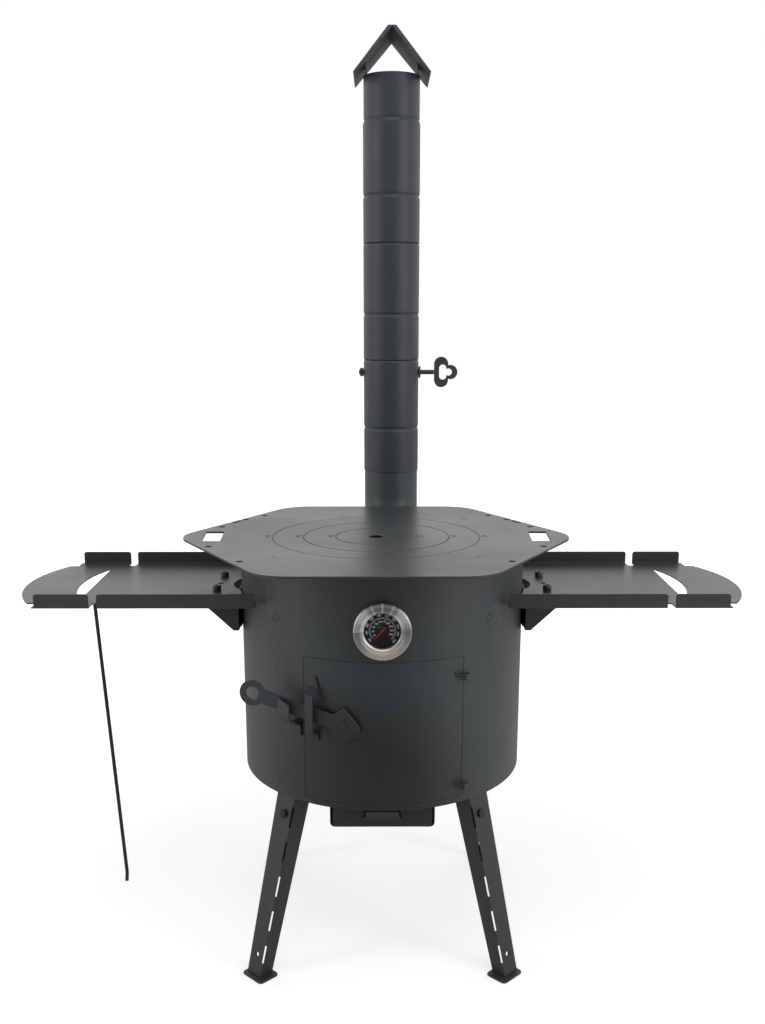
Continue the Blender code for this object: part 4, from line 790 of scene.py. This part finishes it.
def pipe_recipe():
    """A plug-in pipe: a body with two rolled grooves and a narrower neck above the upper one."""
    heights = {"Base Height": 0.0, "Length": 0.267, "Low Groove": 0.08, "High Groove": 0.192}
    widths = {"Body Radius": 0.0472, "Neck Radius": 0.0461, "Groove Depth": 0.001, "Groove Width": 0.002}
    recipe = Recipe("Grooved Pipe", {**heights, **widths, "Sides": 96})
    given = recipe.given
    base = given["Base Height"]
    top = recipe.math("ADD", base, given["Length"])
    line_ends = {"Start": recipe.vector(Z=base), "End": recipe.vector(Z=top)}
    line = recipe.step("GeometryNodeCurvePrimitiveLine", line_ends)
    rows = recipe.step("GeometryNodeResampleCurve", {"Curve": line, "Count": 268}, mode="COUNT")
    spot = recipe.parts(recipe.step("GeometryNodeInputPosition"))
    height = recipe.math("SUBTRACT", spot["Z"], base)
    half_step = 0.0015
    narrowed = recipe.step(
        "ShaderNodeMapRange",
        {
            "Value": recipe.math("SUBTRACT", height, given["High Groove"]),
            "From Min": -half_step,
            "From Max": half_step,
            "To Min": 0.0,
            "To Max": 1.0,
        },
        interpolation_type="SMOOTHSTEP",
    )
    narrowing = recipe.math("SUBTRACT", given["Body Radius"], given["Neck Radius"])
    radius = recipe.math("SUBTRACT", given["Body Radius"], recipe.times(narrowing, narrowed))
    for groove in ("Low Groove", "High Groove"):
        away = recipe.math("DIVIDE", recipe.math("SUBTRACT", height, given[groove]), given["Groove Width"])
        dip = recipe.math("EXPONENT", recipe.times(recipe.times(away, away), -1.0))
        radius = recipe.math("SUBTRACT", radius, recipe.times(dip, given["Groove Depth"]))
    shaped = recipe.step("GeometryNodeSetCurveRadius", {"Curve": rows, "Radius": radius})
    ring = recipe.step("GeometryNodeCurvePrimitiveCircle", {"Resolution": given["Sides"], "Radius": 1.0})
    skin = {"Curve": shaped, "Profile Curve": ring, "Scale": radius}
    return recipe.finish(recipe.step("GeometryNodeCurveToMesh", skin))


# Operators, one for each piece or group of like pieces


class StoveFirebox(bpy.types.Operator):
    """The drum with its floor, grate and door stop."""

    bl_idname = "stove.firebox"
    bl_label = "Firebox"

    def execute(self, context):
        dress("drum_shell", body_coat(), edge=THIN_EDGE)
        dress("drum_floor", fire_iron())
        dress("fire_grate", fire_iron())
        dress("door_stop_strip", hidden_coat(), edge=THIN_EDGE)
        for node in ("hinge_lug_upper", "hinge_lug_lower", "latch_keeper"):
            dress(node, body_coat(), edge=THICK_EDGE)
        return {"FINISHED"}


class StoveDoor(bpy.types.Operator):
    """The firing door with its hinge tabs, latch strap, lever and rivet."""

    bl_idname = "stove.door"
    bl_label = "Firing door"

    def execute(self, context):
        dress("door_panel", body_coat(), "door")
        for node in ("hinge_tab_upper", "hinge_tab_lower", "latch_guide_strap"):
            dress(node, body_coat(), "door", edge=THICK_EDGE)
        dress("latch_rivet", black_fastener(), "door")
        dress("latch_lever", body_coat(), "latch", edge=THICK_EDGE)
        return {"FINISHED"}


class StoveWelds(bpy.types.Operator):
    """Weld beads where lugs, tabs, keeper, strap and brackets meet the drum or door."""

    bl_idname = "stove.welds"
    bl_label = "Weld beads"

    def execute(self, context):
        recipe = weld_recipe()
        weld = settings("stove_weld")
        values = {"Bead Radius": weld.bead, "Step": weld.step, "Seed": 5, "Material": body_coat()}
        for body, paths in (("stove", fixed_weld_paths()), ("door", door_weld_paths())):
            points = []
            edges = []
            for path in paths:
                first = len(points)
                points += path
                edges += [(first + step, first + step + 1) for step in range(len(path) - 1)]
            beads = recipe.make("weld_beads_" + body, points_mesh(points, edges=edges), values)
            keep(beads, body)
        return {"FINISHED"}


def on_drum(bearing, height):
    """A point on the drum's skin at this bearing from the front, in radians."""
    return Vector((drum_radius * sin(bearing), drum_centre.y - drum_radius * cos(bearing), height))


def bearing_of(x, y):
    return atan2(x, drum_centre.y - y)


def across_wall(node, share):
    """A level weld path on the drum's skin under a node, over this share of its width."""
    low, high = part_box(node)
    ends = [bearing_of(x, low.y) for x in (low.x, high.x)]
    centre = sum(ends) / 2
    half = (ends[1] - ends[0]) / 2 * share
    return [on_drum(centre + half * step / 3, low.z) for step in range(-3, 4)]


def beside_hinge(x, y, height, turn):
    """A level weld path on the drum's skin from a hinge piece's edge, through a turn in radians."""
    start = bearing_of(x, y)
    return [on_drum(start + turn * step / 4, height) for step in range(5)]


HINGE_WELD_TURN = 0.052


def fixed_weld_paths():
    paths = []
    for node in ("hinge_lug_upper", "hinge_lug_lower"):
        low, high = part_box(node)
        paths += [beside_hinge(high.x, high.y, height, -HINGE_WELD_TURN) for height in (low.z, high.z)]
    paths.append(across_wall("latch_keeper", 0.42))
    weld_offset, half_weld, proud = 0.02, 0.012, 0.0003
    for side, node in ((-1, "shelf_bracket_left"), (1, "shelf_bracket_right")):
        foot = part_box(node)[0].z
        inner = side * (drum_radius + proud)
        for y in (drum_centre.y - weld_offset, drum_centre.y + weld_offset):
            paths.append([Vector((inner, y + half_weld * step / 2, foot)) for step in range(-2, 3)])
    return paths


def door_weld_paths():
    paths = []
    for node in ("hinge_tab_upper", "hinge_tab_lower"):
        low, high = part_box(node)
        paths.append(beside_hinge(low.x, high.y, high.z, HINGE_WELD_TURN))
    paths.append(across_wall("latch_guide_strap", 0.5))
    return paths


# Radius left open at the axis of a turned disc
PINHOLE = 0.0001
FACE_SEGMENTS = 96
CASE_SEGMENTS = 160
INK_HEIGHT = 0.00004
NEEDLE_ANGLE = radians(229)


def outward(node):
    """How far a node's front stands out from the back of the thermometer's case."""
    return gauge_centre.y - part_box(node)[0].y


class StoveThermometer(bpy.types.Operator):
    """The thermometer: turned bezel, printed dial, needle, glass and stem."""

    bl_idname = "stove.thermometer"
    bl_label = "Thermometer"

    def execute(self, context):
        profile = case_profile()
        case = turned("thermometer_case", profile, CASE_SEGMENTS, turned_stainless(), sharp_angle=50)
        wind_uv(case.data, CASE_SEGMENTS, len(profile))
        keep(case, "stove", ("gauge_case",))
        dress("gauge_probe", plain_stainless(), edge=THIN_EDGE)
        face = outward("gauge_glass")
        glass_profile = [
            (PINHOLE, face),
            (0.0240, face),
            (0.0247, face - 0.0003),
            (0.0248, face - 0.0008),
            (0.0247, face - 0.0013),
            (PINHOLE, face - 0.0014),
        ]
        glass = turned("thermometer_glass", glass_profile, FACE_SEGMENTS, clear_glass(), sharp_angle=20)
        keep(glass, "stove", ("gauge_glass",))
        gauge = settings("stove_gauge")
        printed = outward("gauge_dial")
        back = printed - 0.0005
        edge = gauge.dial_radius
        disc = [(PINHOLE, printed), (edge, printed), (edge, back), (PINHOLE, back)]
        black = printed_colour("Dial black", (0.008, 0.008, 0.010), 0.35)
        dial = turned("dial_face", disc, FACE_SEGMENTS, black, sharp_angle=40)
        keep(dial, "stove", ("gauge_dial",))
        for piece in (*printed_bands(gauge), *printed_marks(gauge), *printed_numbers(gauge)):
            seat_on_dial(piece, printed)
        self.needle()
        return {"FINISHED"}

    def needle(self):
        red = printed_colour("Needle red", (0.85, 0.03, 0.05), 0.3)
        near = outward("gauge_pointer")
        turn = Matrix.Rotation(NEEDLE_ANGLE, 2)
        rows = []
        thickness, bevel, top_share = 0.0005, 0.0001, 0.8
        for out, share in ((near - thickness, 1.0), (near - bevel, 1.0), (near, top_share)):
            turned_points = [turn @ Vector(point) * share for point in needle_outline()]
            rows.append([gauge_centre + Vector((point.x, -out, point.y)) for point in turned_points])
        needle = new_piece("gauge_needle_finished", lofted("needle", rows), red, smooth=False)
        keep(needle, "pointer", ("gauge_pointer",))
        cap_profile = [
            (PINHOLE, near + 0.0006),
            (0.0009, near + 0.00055),
            (0.0015, near + 0.0003),
            (0.0017, near - 0.0001),
            (PINHOLE, near - 0.0001),
        ]
        cap = turned("needle_hub_cap", cap_profile, 32, red)
        keep(cap, "pointer")


def case_profile():
    """The case in section, as radius and distance out: its rim, its back, the dial's well, the bezel."""
    rim = bezel_radius
    return [
        (rim - 0.0012, 0.01315),
        (rim - 0.0004, 0.0124),
        (rim, 0.0114),
        (rim, 0.0056),
        (rim - 0.0006, 0.0050),
        (0.0362, 0.0036),
        (0.0360, 0.0030),
        (0.0360, 0.0003),
        (0.0357, 0.0),
        (0.0040, 0.0),
        (0.0034, 0.0006),
        (0.0034, 0.0019),
        (0.0252, 0.0019),
        (0.0252, 0.0089),
        (0.0256, 0.0093),
        (0.0296, 0.0118),
        (0.0301, 0.0119),
        (0.0306, 0.0124),
        (0.0310, 0.01335),
        (0.0316, 0.0135),
        (rim - 0.0020, 0.01335),
    ]


def needle_outline():
    """A needle along +X with a round hub and a short tail."""
    length, tail, hub, half = 0.0185, 0.0060, 0.0019, 0.0014
    sides = []
    for first in (25, 205):
        turns = [radians(first + 130 * step / 6) for step in range(7)]
        sides.append([(hub * cos(turn), hub * sin(turn)) for turn in turns])
    tail_end = [(-tail, half * 1.3), (-tail, -half * 1.3)]
    tip = [(length * 0.8, -half * 0.55), (length, 0.0), (length * 0.8, half * 0.55)]
    return sides[0] + tail_end + sides[1] + tip


def printed_bands(gauge):
    """The grey band round the scale's marks and the green patch near the centre."""
    grey = printed_colour("Dial grey", (0.42, 0.43, 0.47))
    green = printed_colour("Dial green", (0.02, 0.14, 0.05))
    over = 0.03
    first, sweep = gauge.first_angle + over, gauge.sweep + 2 * over
    return (
        fan("dial_band", 0.0170, 0.0186, first, sweep, 96, grey),
        fan("dial_green_range", 0.0050, 0.0088, radians(152), radians(52), 16, green),
    )


@cache
def dial_white():
    return printed_colour("Dial white", (0.98, 0.98, 1.0))


def printed_marks(gauge):
    recipe = dial_recipe()
    same = {"First Angle": gauge.first_angle, "Sweep": gauge.sweep}
    same.update({"Height": 0.00012, "Material": dial_white()})
    for name, count, radius, length, width in (
        ("dial_small_marks", gauge.marks, 0.0166, 0.0012, 0.00022),
        ("dial_long_marks", 10, 0.0164, 0.0018, 0.00040),
    ):
        own = {"Count": count, "Radius": radius, "Length": length, "Width": width}
        yield recipe.make(name, points_mesh(), {**own, **same})


def printed_numbers(gauge):
    """The outer ring of numbers, which lean with the dial, and the inner ring, which stand upright."""
    outer = range(100, 600, 50)
    inner = (40, 65, 90, 120, 150, 175, 205, 230, 260, 290)
    first, sweep, size = gauge.first_angle, gauge.sweep, gauge.number_size
    for ring, radius, values, leaning, start, turn, height in (
        ("outer", 0.0215, outer, True, first, sweep, size),
        ("inner", 0.0127, inner, False, first - radians(7), sweep - radians(24), size * 0.92),
    ):
        for index, value in enumerate(values):
            angle = start - turn * index / (len(values) - 1)
            lean = angle - pi / 2 if leaning else 0.0
            number = flat_number(f"dial_{ring}_{value}", str(value), height)
            spot = Matrix.Translation((radius * cos(angle), radius * sin(angle), 0))
            number.data.transform(spot @ Matrix.Rotation(lean, 4, "Z"))
            yield number


def fan(name, inner, outer, first, sweep, steps, material):
    """A flat band between two radii, from one angle clockwise through a sweep."""
    section = ((inner, 0.0), (inner, INK_HEIGHT), (outer, INK_HEIGHT), (outer, 0.0))
    rows = []
    for step in range(steps + 1):
        angle = first - sweep * step / steps
        rows.append([(radius * cos(angle), radius * sin(angle), lift) for radius, lift in section])
    return new_piece(name, lofted(name, rows), material, smooth=False)


def flat_number(name, text, size, letter_share=1.4):
    """A number as a thin mesh, centred on the origin in the XY plane."""
    data = bpy.data.curves.new(name, "FONT")
    data.body = text
    data.size = size * letter_share
    data.align_x = "CENTER"
    data.align_y = "CENTER"
    data.extrude = 0.00003
    data.resolution_u = 3
    data.offset = 0.00012
    guide = linked(name + "_guide", data)
    mesh = evaluated_mesh(guide)
    bpy.data.objects.remove(guide, do_unlink=True)
    return new_piece(name, mesh, dial_white(), smooth=False)


def seat_on_dial(obj, printed):
    """Stands a piece made in the XY plane on the printed face of the dial."""
    stand = Matrix.Translation(gauge_centre + Vector((0, -printed, 0))) @ Matrix.Rotation(pi / 2, 4, "X")
    obj.data.transform(stand)
    keep(obj, "stove")


class StoveHob(bpy.types.Operator):
    """The hob plate and its three cooking rings."""

    bl_idname = "stove.hob"
    bl_label = "Hob and rings"

    def execute(self, context):
        plate = new_piece("hob_plate_finished", self.plate_with_seams(), plate_coat())
        soften(plate, THIN_EDGE)
        keep(plate, "hob", ("hob_plate",))
        for ring in ("outer", "middle", "inner"):
            dress("cooking_ring_" + ring, plate_coat(), ring + "_ring", RING_EDGE)
        return {"FINISHED"}

    def plate_with_seams(self):
        """The plate's mesh, sunk a little where the end of each locating tab comes through."""
        seam_inner, seam_outer, seam_depth = 0.2032, 0.2040, 0.0002
        half_turn = 2.2
        steps = 6
        centre = middle("cooking_ring_outer")
        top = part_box("hob_plate")[1].z
        sunk, over = top - seam_depth, top + 0.002
        section = ((seam_inner, sunk), (seam_outer, sunk), (seam_outer, over), (seam_inner, over))
        work = bmesh.new()
        for tab_angle in (45, 135, 225, 315):
            rows = []
            for step in range(steps + 1):
                angle = radians(tab_angle - half_turn + 2 * half_turn * step / steps)
                across, along = cos(angle), sin(angle)
                rows.append(
                    [(centre.x + reach * across, centre.y + reach * along, z) for reach, z in section]
                )
            loft(work, rows)
        cutter = linked("seams", finished_mesh(work, "seams"))
        plate = linked("plate", merged_copy("hob_plate"))
        cut = plate.modifiers.new("seams", "BOOLEAN")
        cut.operation = "DIFFERENCE"
        cut.solver = "EXACT"
        cut.object = cutter
        result = evaluated_mesh(plate)
        for obj in (cutter, plate):
            bpy.data.objects.remove(obj, do_unlink=True)
        return result


class StoveDrawer(bpy.types.Operator):
    """The ash drawer and its housing."""

    bl_idname = "stove.drawer"
    bl_label = "Ash drawer"

    def execute(self, context):
        dress("ash_drawer", dark_coat(), "drawer", edge=THIN_EDGE)
        dress("drawer_housing", hidden_coat(), edge=THIN_EDGE)
        return {"FINISHED"}


class StoveLegs(bpy.types.Operator):
    """Four folded legs with brackets, bolts and foot plates."""

    bl_idname = "stove.legs"
    bl_label = "Legs"

    def execute(self, context):
        for corner in ("front_left", "front_right", "rear_left", "rear_right"):
            dress("leg_" + corner, dark_coat(), edge=THICK_EDGE)
            dress("leg_bracket_" + corner, hidden_coat())
            dress("foot_plate_" + corner, dark_coat(), edge=THICK_EDGE)
            dress("leg_bolt_" + corner, fire_iron(), edge=THICK_EDGE)
        return {"FINISHED"}


class StoveShelves(bpy.types.Operator):
    """Two folded side shelves on their brackets."""

    bl_idname = "stove.shelves"
    bl_label = "Side shelves"

    def execute(self, context):
        for side in ("left", "right"):
            dress("shelf_tray_" + side, plate_coat(), edge=THICK_EDGE)
            dress("shelf_bracket_" + side, body_coat(), edge=THICK_EDGE)
        return {"FINISHED"}


class StoveScrews(bpy.types.Operator):
    """Socket-head screws that hold the shelves on their brackets."""

    bl_idname = "stove.screws"
    bl_label = "Shelf screws"

    def execute(self, context):
        names = [f"shelf_screw_{side}_{end}" for side in ("left", "right") for end in ("front", "back")]
        seats = []
        for name in names:
            centre = middle(name)
            seats.append(Vector((centre.x, centre.y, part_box(name)[0].z)))
        low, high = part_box(names[0])
        shape = linked("socket_screw", socket_screw(high.z - low.z))
        screws = seat_recipe().make(
            "shelf_screws",
            points_mesh(seats, [(0, 0, 1)] * len(seats)),
            {"Fastener": shape, "Spin": 0.37, "Material": black_fastener()},
        )
        bpy.data.objects.remove(shape, do_unlink=True)
        screws.data.set_sharp_from_angle(angle=radians(35))
        keep(screws, "stove", names)
        return {"FINISHED"}


def level_ring(radius, height, six_sided=False):
    """Points of a level circle, or of a hexagon with this corner radius."""
    count = 48
    points = []
    for step in range(count):
        angle = 2 * pi * step / count
        reach = radius
        if six_sided:
            reach *= cos(pi / 6) / cos(angle % (pi / 3) - pi / 6)
        points.append((reach * cos(angle), reach * sin(angle), height))
    return points


def socket_screw(length):
    """A socket-head screw with its nut, standing on the nut's lower end."""
    shank = 0.0040
    nut_low, nut_high = 0.003, 0.0095
    nut_corner, nut_edge = 0.0071, 0.0066
    head, head_low = 0.0063, length - 0.008
    socket, socket_floor = 0.0034, length - 0.005
    tail = [(0.0034, 0.0), (shank, 0.0006), (shank, nut_low)]
    nut = [
        (nut_edge, nut_low),
        (nut_corner, nut_low + 0.0006),
        (nut_corner, nut_high - 0.0006),
        (nut_edge, nut_high),
    ]
    upper = [
        (shank, nut_high),
        (shank, head_low),
        (0.0060, head_low),
        (head, head_low + 0.0003),
        (head, length - 0.0009),
        (0.0060, length - 0.0003),
        (0.0055, length),
        (0.0041, length),
    ]
    rows = []
    for profile, six_sided in (
        (tail, False),
        (nut, True),
        (upper, False),
        ([(socket, length), (socket, socket_floor)], True),
    ):
        rows += [level_ring(radius, height, six_sided) for radius, height in profile]
    return lofted("socket_screw", rows)


class StoveChimney(bpy.types.Operator):
    """The flue elbow and three plug-in pipes."""

    bl_idname = "stove.chimney"
    bl_label = "Chimney"

    def execute(self, context):
        pipe = settings("stove_pipe")
        dress("flue_elbow", body_coat(), edge=ELBOW_EDGE)
        recipe = pipe_recipe()
        coat = pipe_coat()
        plug_clearance = 0.0003
        for name in ("lower", "middle", "upper"):
            node = "chimney_pipe_" + name
            low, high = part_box(node)
            axis = middle(node)
            body_radius = (high.x - low.x) / 2
            skin = recipe.make(
                node + "_finished",
                points_mesh(),
                {
                    "Base Height": low.z,
                    "Length": high.z - low.z,
                    "Body Radius": body_radius,
                    "Neck Radius": body_radius - pipe.wall - plug_clearance,
                    "Low Groove": pipe.low_bead,
                    "High Groove": high.z - low.z - pipe.neck,
                    "Groove Depth": pipe.groove,
                    "Groove Width": 0.0027,
                    "Sides": 120,
                    "Material": coat,
                },
            )
            skin.data.transform(Matrix.Translation((axis.x, axis.y, 0)))
            thicken = skin.modifiers.new("wall", "SOLIDIFY")
            thicken.thickness = pipe.wall
            thicken.offset = -1
            keep(skin, "stove", (node,))
        return {"FINISHED"}


class StoveDamper(bpy.types.Operator):
    """The damper: disc, spindle, washer, nut and key."""

    bl_idname = "stove.damper"
    bl_label = "Damper"

    def execute(self, context):
        dress("damper_disc", hidden_coat(), "damper", THIN_EDGE)
        dress("damper_key", body_coat(), "damper", THICK_EDGE)
        for node in ("damper_spindle", "damper_nut", "damper_washer"):
            dress(node, black_fastener(), "damper")
        return {"FINISHED"}


class StoveCap(bpy.types.Operator):
    """The folded rain cap, with the fold's underside made sharp."""

    bl_idname = "stove.cap"
    bl_label = "Rain cap"

    def execute(self, context):
        fold_half_width, fold_depth, sheet = 0.009, 0.0008, 0.0015
        centre = middle("rain_cap")
        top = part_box("rain_cap")[1].z
        work = bmesh.new()
        work.from_mesh(merged_copy("rain_cap"))
        bmesh.ops.triangulate(work, faces=work.faces)
        for vertex in work.verts:
            if abs(vertex.co.x - centre.x) < fold_half_width and vertex.co.z < top - fold_depth:
                vertex.co.x = centre.x
                vertex.co.z = top - sheet
        clean(work, join_reach=0.00001)
        cap = new_piece("rain_cap_finished", finished_mesh(work, "rain_cap"), cap_coat())
        soften(cap, settings("stove_coat").edge)
        keep(cap, "stove", ("rain_cap",))
        return {"FINISHED"}


class StovePoker(bpy.types.Operator):
    """The poker that hangs from the left shelf."""

    bl_idname = "stove.poker"
    bl_label = "Poker"

    def execute(self, context):
        dress("poker", black_fastener(), "poker")
        return {"FINISHED"}


class StoveStage(bpy.types.Operator):
    """A plain pale floor, soft studio light and the camera."""

    bl_idname = "stove.stage"
    bl_label = "Stage"

    def execute(self, context):
        stage = settings("stove_stage")
        scene = context.scene
        reach = 14.0
        corners = [(-reach, -reach, 0), (reach, -reach, 0), (reach, reach, 0), (-reach, reach, 0)]
        mesh = bpy.data.meshes.new("floor")
        mesh.from_pydata(corners, [], [(0, 1, 2, 3)])
        mesh.materials.append(floor_finish())
        floor = linked("floor", mesh)
        scene.world = studio_world(stage.surround)
        lamp_target = Vector((0, 0, 0.65))
        for name, place_at, size, power in (
            ("soft light right", (2.1, -1.5, 1.5), (0.9, 2.2), 21.0),
            ("soft light left", (-2.4, -1.0, 1.6), (0.8, 2.2), 15.0),
            ("soft light above", (0.1, -1.3, 3.2), (2.6, 2.2), 27.0),
        ):
            data = bpy.data.lights.new(name, "AREA")
            data.shape = "RECTANGLE"
            data.size, data.size_y = size
            data.energy = power
            lamp = linked(name, data)
            lamp.location = place_at
            towards = lamp_target - Vector(place_at)
            lamp.rotation_euler = towards.to_track_quat("-Z", "Y").to_euler()
        data = bpy.data.cameras.new("camera")
        data.sensor_width = 36
        data.lens = stage.lens
        data.shift_y = 0.0714
        data.clip_end = 60
        camera = linked("camera", data)
        camera.location = (-0.0037, drum_centre.y - 1.660, 0.972)
        camera.rotation_euler = (radians(90 - 14.01), 0, radians(-0.15))
        scene.camera = camera
        scene.view_settings.view_transform = "Standard"
        return {"FINISHED"}


def studio_world(strength):
    """Light from all round, brighter from the back and from low down; the camera sees plain white."""
    world = bpy.data.worlds.new("Studio")
    world.use_nodes = True
    world.node_tree.nodes.clear()
    nodes = Nodes(world.node_tree)
    part = nodes.parts(nodes.add("ShaderNodeTexCoord").outputs["Generated"])
    depth = nodes.math("MULTIPLY_ADD", part["Y"], 0.5, 0.5)
    around = nodes.ramp(depth, ((0.0, 0.22), (0.2, 0.20), (0.42, 0.62), (0.6, 1.0)))
    high_up = nodes.ramp(part["Z"], ((0.15, 1.15), (0.45, 0.78), (0.85, 0.55)))
    colour = nodes.mixed(1.0, around, high_up, "MULTIPLY")
    light = nodes.add("ShaderNodeBackground", {"Color": colour, "Strength": strength})
    white = nodes.add("ShaderNodeBackground", {"Color": (1, 1, 1, 1), "Strength": 1.0})
    seen = nodes.add("ShaderNodeLightPath").outputs["Is Camera Ray"]
    choose = nodes.add("ShaderNodeMixShader", {0: seen, 1: light.outputs[0], 2: white.outputs[0]})
    nodes.add("ShaderNodeOutputWorld", {"Surface": choose.outputs[0]})
    return world


def floor_finish():
    """Pale matt floor that shows white to the camera and keeps the stove's shadow; to other rays it is dark
    in an oval in front of the stove, a painted shade that darkens the stove's reflections.
    """
    material, nodes, shader = new_material("Pale floor")
    seen = nodes.add("ShaderNodeLightPath").outputs["Is Camera Ray"]
    place_at = nodes.place()
    from_stove = nodes.add("ShaderNodeVectorMath", {0: place_at}, operation="LENGTH")
    glow_from = nodes.times(from_stove.outputs["Value"], 0.25)
    paler = nodes.ramp(glow_from, ((0.12, 0.58), (0.4, 0.9)))
    glow_inputs = {"Color": (1, 1, 1, 1), "Strength": nodes.times(seen, paler)}
    glow = nodes.add("ShaderNodeEmission", glow_inputs)
    # Painted shade: a dark oval in front of the stove, seen only in reflections and bounced light
    oval = {"Vector": place_at, "Location": (0.0, 0.95, 0.0), "Scale": (0.6, 0.5, 1.0)}
    shifted = nodes.add("ShaderNodeMapping", oval).outputs[0]
    away = nodes.add("ShaderNodeVectorMath", {0: shifted}, operation="LENGTH")
    painted_floor_shade = nodes.ramp(away.outputs["Value"], ((0.25, 0.08), (1.0, 0.76)))
    base = nodes.mixed(seen, painted_floor_shade, (0.60, 0.60, 0.60))
    nodes.fill(shader, {"Base Color": base, "Roughness": 0.9, "Specular IOR Level": 0.1})
    both = nodes.add("ShaderNodeAddShader", {0: shader.outputs[0], 1: glow.outputs[0]})
    nodes.feed(nodes.tree.nodes["Material Output"].inputs["Surface"], both.outputs[0])
    return material


class StovePanel(bpy.types.Panel):
    """Lists the stove's sizes, colours and pieces."""

    bl_idname = "VIEW3D_PT_stove"
    bl_label = "Cauldron stove"
    bl_space_type = "VIEW_3D"
    bl_region_type = "UI"
    bl_category = "Stove"

    def draw(self, context):
        for name, group in groups.items():
            box = self.layout.box()
            for key in group.__annotations__:
                box.prop(getattr(context.scene, name), key)
        for operator in operators:
            self.layout.operator(operator.bl_idname)


groups = {
    "stove_coat": CoatSettings,
    "stove_gauge": GaugeSettings,
    "stove_pipe": PipeSettings,
    "stove_weld": WeldSettings,
    "stove_stage": StageSettings,
}
operators = (
    StoveStage,
    StoveFirebox,
    StoveDoor,
    StoveWelds,
    StoveThermometer,
    StoveHob,
    StoveDrawer,
    StoveLegs,
    StoveShelves,
    StoveScrews,
    StoveChimney,
    StoveDamper,
    StoveCap,
    StovePoker,
)
classes = (*groups.values(), *operators, StovePanel)


def register():
    for kind in classes:
        bpy.utils.register_class(kind)
    for name, group in groups.items():
        setattr(bpy.types.Scene, name, bpy.props.PointerProperty(type=group))


def unregister():
    for name in groups:
        delattr(bpy.types.Scene, name)
    for kind in reversed(classes):
        bpy.utils.unregister_class(kind)


def main():
    register()
    for operator in operators:
        family, name = operator.bl_idname.split(".")
        getattr(getattr(bpy.ops, family), name)()


if __name__ == "__main__":
    main()
